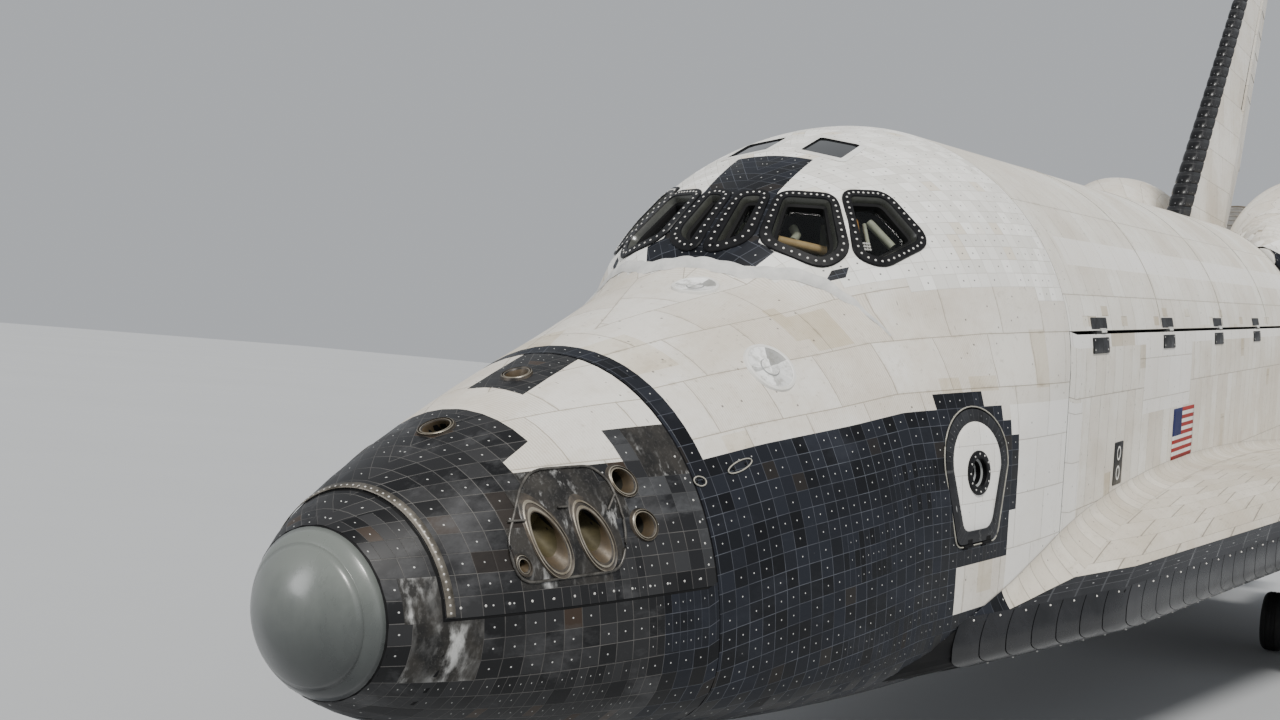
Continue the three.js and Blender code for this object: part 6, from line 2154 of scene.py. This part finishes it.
def gear_door(side, name, hinge, lean, thick, down, along):
    """Black tiles over a gear door's outer face, and stiffeners inside."""
    c, s = math.cos(math.radians(lean)), math.sin(math.radians(lean))

    def corner(out, drop, y):
        return side * (hinge[0] + out * c + drop * s), y, hinge[1] + out * s - drop * c

    ys, drops = steps(*along, 0.3), steps(*down, 0.15)
    rings = [[corner(thick + PROUD, drop, y) for y in ys] for drop in drops]
    uvs = [(y / TILE, drop / TILE) for drop in drops for y in ys]
    thicken(ring_mesh(f"{name}_tiles", rings, [BLACK_TILE], closed=False, uvs=uvs), 0.012, 0.0)
    ribs = []
    for y in steps(along[0] + 0.2, along[1] - 0.2, 0.55):
        ends = [corner(-0.012, drop, y) for drop in (down[0] + 0.06, down[1] - 0.06)]
        ribs.append(tube("rib", ends, 0.022, WHITE_PAINT, 6))
    joined(f"{name}_stiffeners", ribs)
    paint_cad(WHITE_PAINT, name)


# Flight deck and what shows behind the windows


# kind, ends as (azimuth, elevation) from the canopy's centre, distance from it, radius, material and sides
CABIN_BARS = [
    ("bar", [(12, 37.5), (34, 33.5)], 2.08, 0.05, CABIN_TAN, 8),
    ("strap", [(43.5, 46), (42.5, 38)], 2.06, 0.045, CABIN_ORANGE, 8),
    ("strap", [(47.5, 45), (46.5, 36)], 2.06, 0.022, CABIN_PALE, 8),
    ("rail", [(50, 46), (56, 37)], 2.06, 0.045, CABIN_PALE, 8),
    ("lamp", [(19, 44), (21, 41), (20, 39)], 2.0, 0.045, CABIN_PALE, 10),
    ("box", [(7, 30), (10, 32)], 1.95, 0.05, CABIN_PALE, 8),
    ("box", [(8, 36), (9, 40)], 1.95, 0.04, CABIN_PALE, 8),
]


def build_cabin():
    parts = [tube(kind, [canopy_point(*end, reach) for end in ends], radius, mat, sides)
             for kind, ends, reach, radius, mat, sides in CABIN_BARS]
    grid = [(canopy_point(43.5 + i * 0.9, 35.0 + j, 2.10), canopy_way(44, 35))
            for i in range(4) for j in range(3)]
    parts.append(domes("grid", grid, 0.015, WHITE_PAINT, None))
    joined("cabin_fittings", parts + [mirrored(p, "mirrored", None) for p in parts[:4]])
    paint_cad(CABIN_GREY, "flight_deck_floor", "instrument_panel")
    paint_cad(CABIN_PALE, "commander_seat", "pilot_seat")
    paint_cad(GLASS_DARK, "overhead_panes")
    verts = []
    for y, z in ((6.10, 3.72), (6.16, 3.56)):
        for x in [k * 0.235 for k in range(-4, 5)]:
            low, high = (y - 0.006, z - 0.06), (y - 0.03, z + 0.06)
            verts += [(x - 0.09, *low), (x + 0.09, *low), (x + 0.09, *high), (x - 0.09, *high)]
    faces = [tuple(range(i, i + 4)) for i in range(0, len(verts), 4)]
    thicken(add_object("panel_screens", verts, faces, [GLASS_DARK]), 0.01, 0.0)
    build_overhead_frames()


def build_overhead_frames():
    frames = []
    for side in (1, -1):
        outline = [(side * p.x, p.y) for p in rounded(OVERHEAD, 0.08, 5)][::side]
        rings = []
        for by, out in ((0.03, -0.02), (0.03, 0.01), (-0.04, 0.012), (-0.05, -0.05), (-0.06, -0.10)):
            rings.append([top_hit(p.x, p.y, out) for p in grown(outline, by)])
        frames.append(ring_mesh("frame", rings, [WHITE_PAINT, FRAME_BLACK], [0, 0, 1, 1], body=None))
        pane = [top_hit(p.x, p.y, -0.004) for p in grown(outline, -0.03)]
        frames.append(fan(pane, top_hit(side * 0.43, 7.335, -0.004), [GLASS_DARK]))
    joined("overhead_window_frames", frames)


build_forward()
build_mid()
build_windows()
build_lip()
build_hatch()
build_mouths()
build_trackers()
build_module_details()
build_doors()
build_side_details()
build_bay()
build_wings()
build_fin()
build_pods()
build_engines()
build_gear()
build_cabin()
# Painted shade: the solids under the fuselage skins are near black, as they show only in the gaps.
paint_cad(DARK, "forward_fuselage", "forward_thruster_module", "crew_hatch")
paint_cad(BAY_WALLS, "mid_fuselage")
paint_cad(BASE_TILE, "aft_fuselage")
paint_cad(BELLY_TILE, "body_flap")
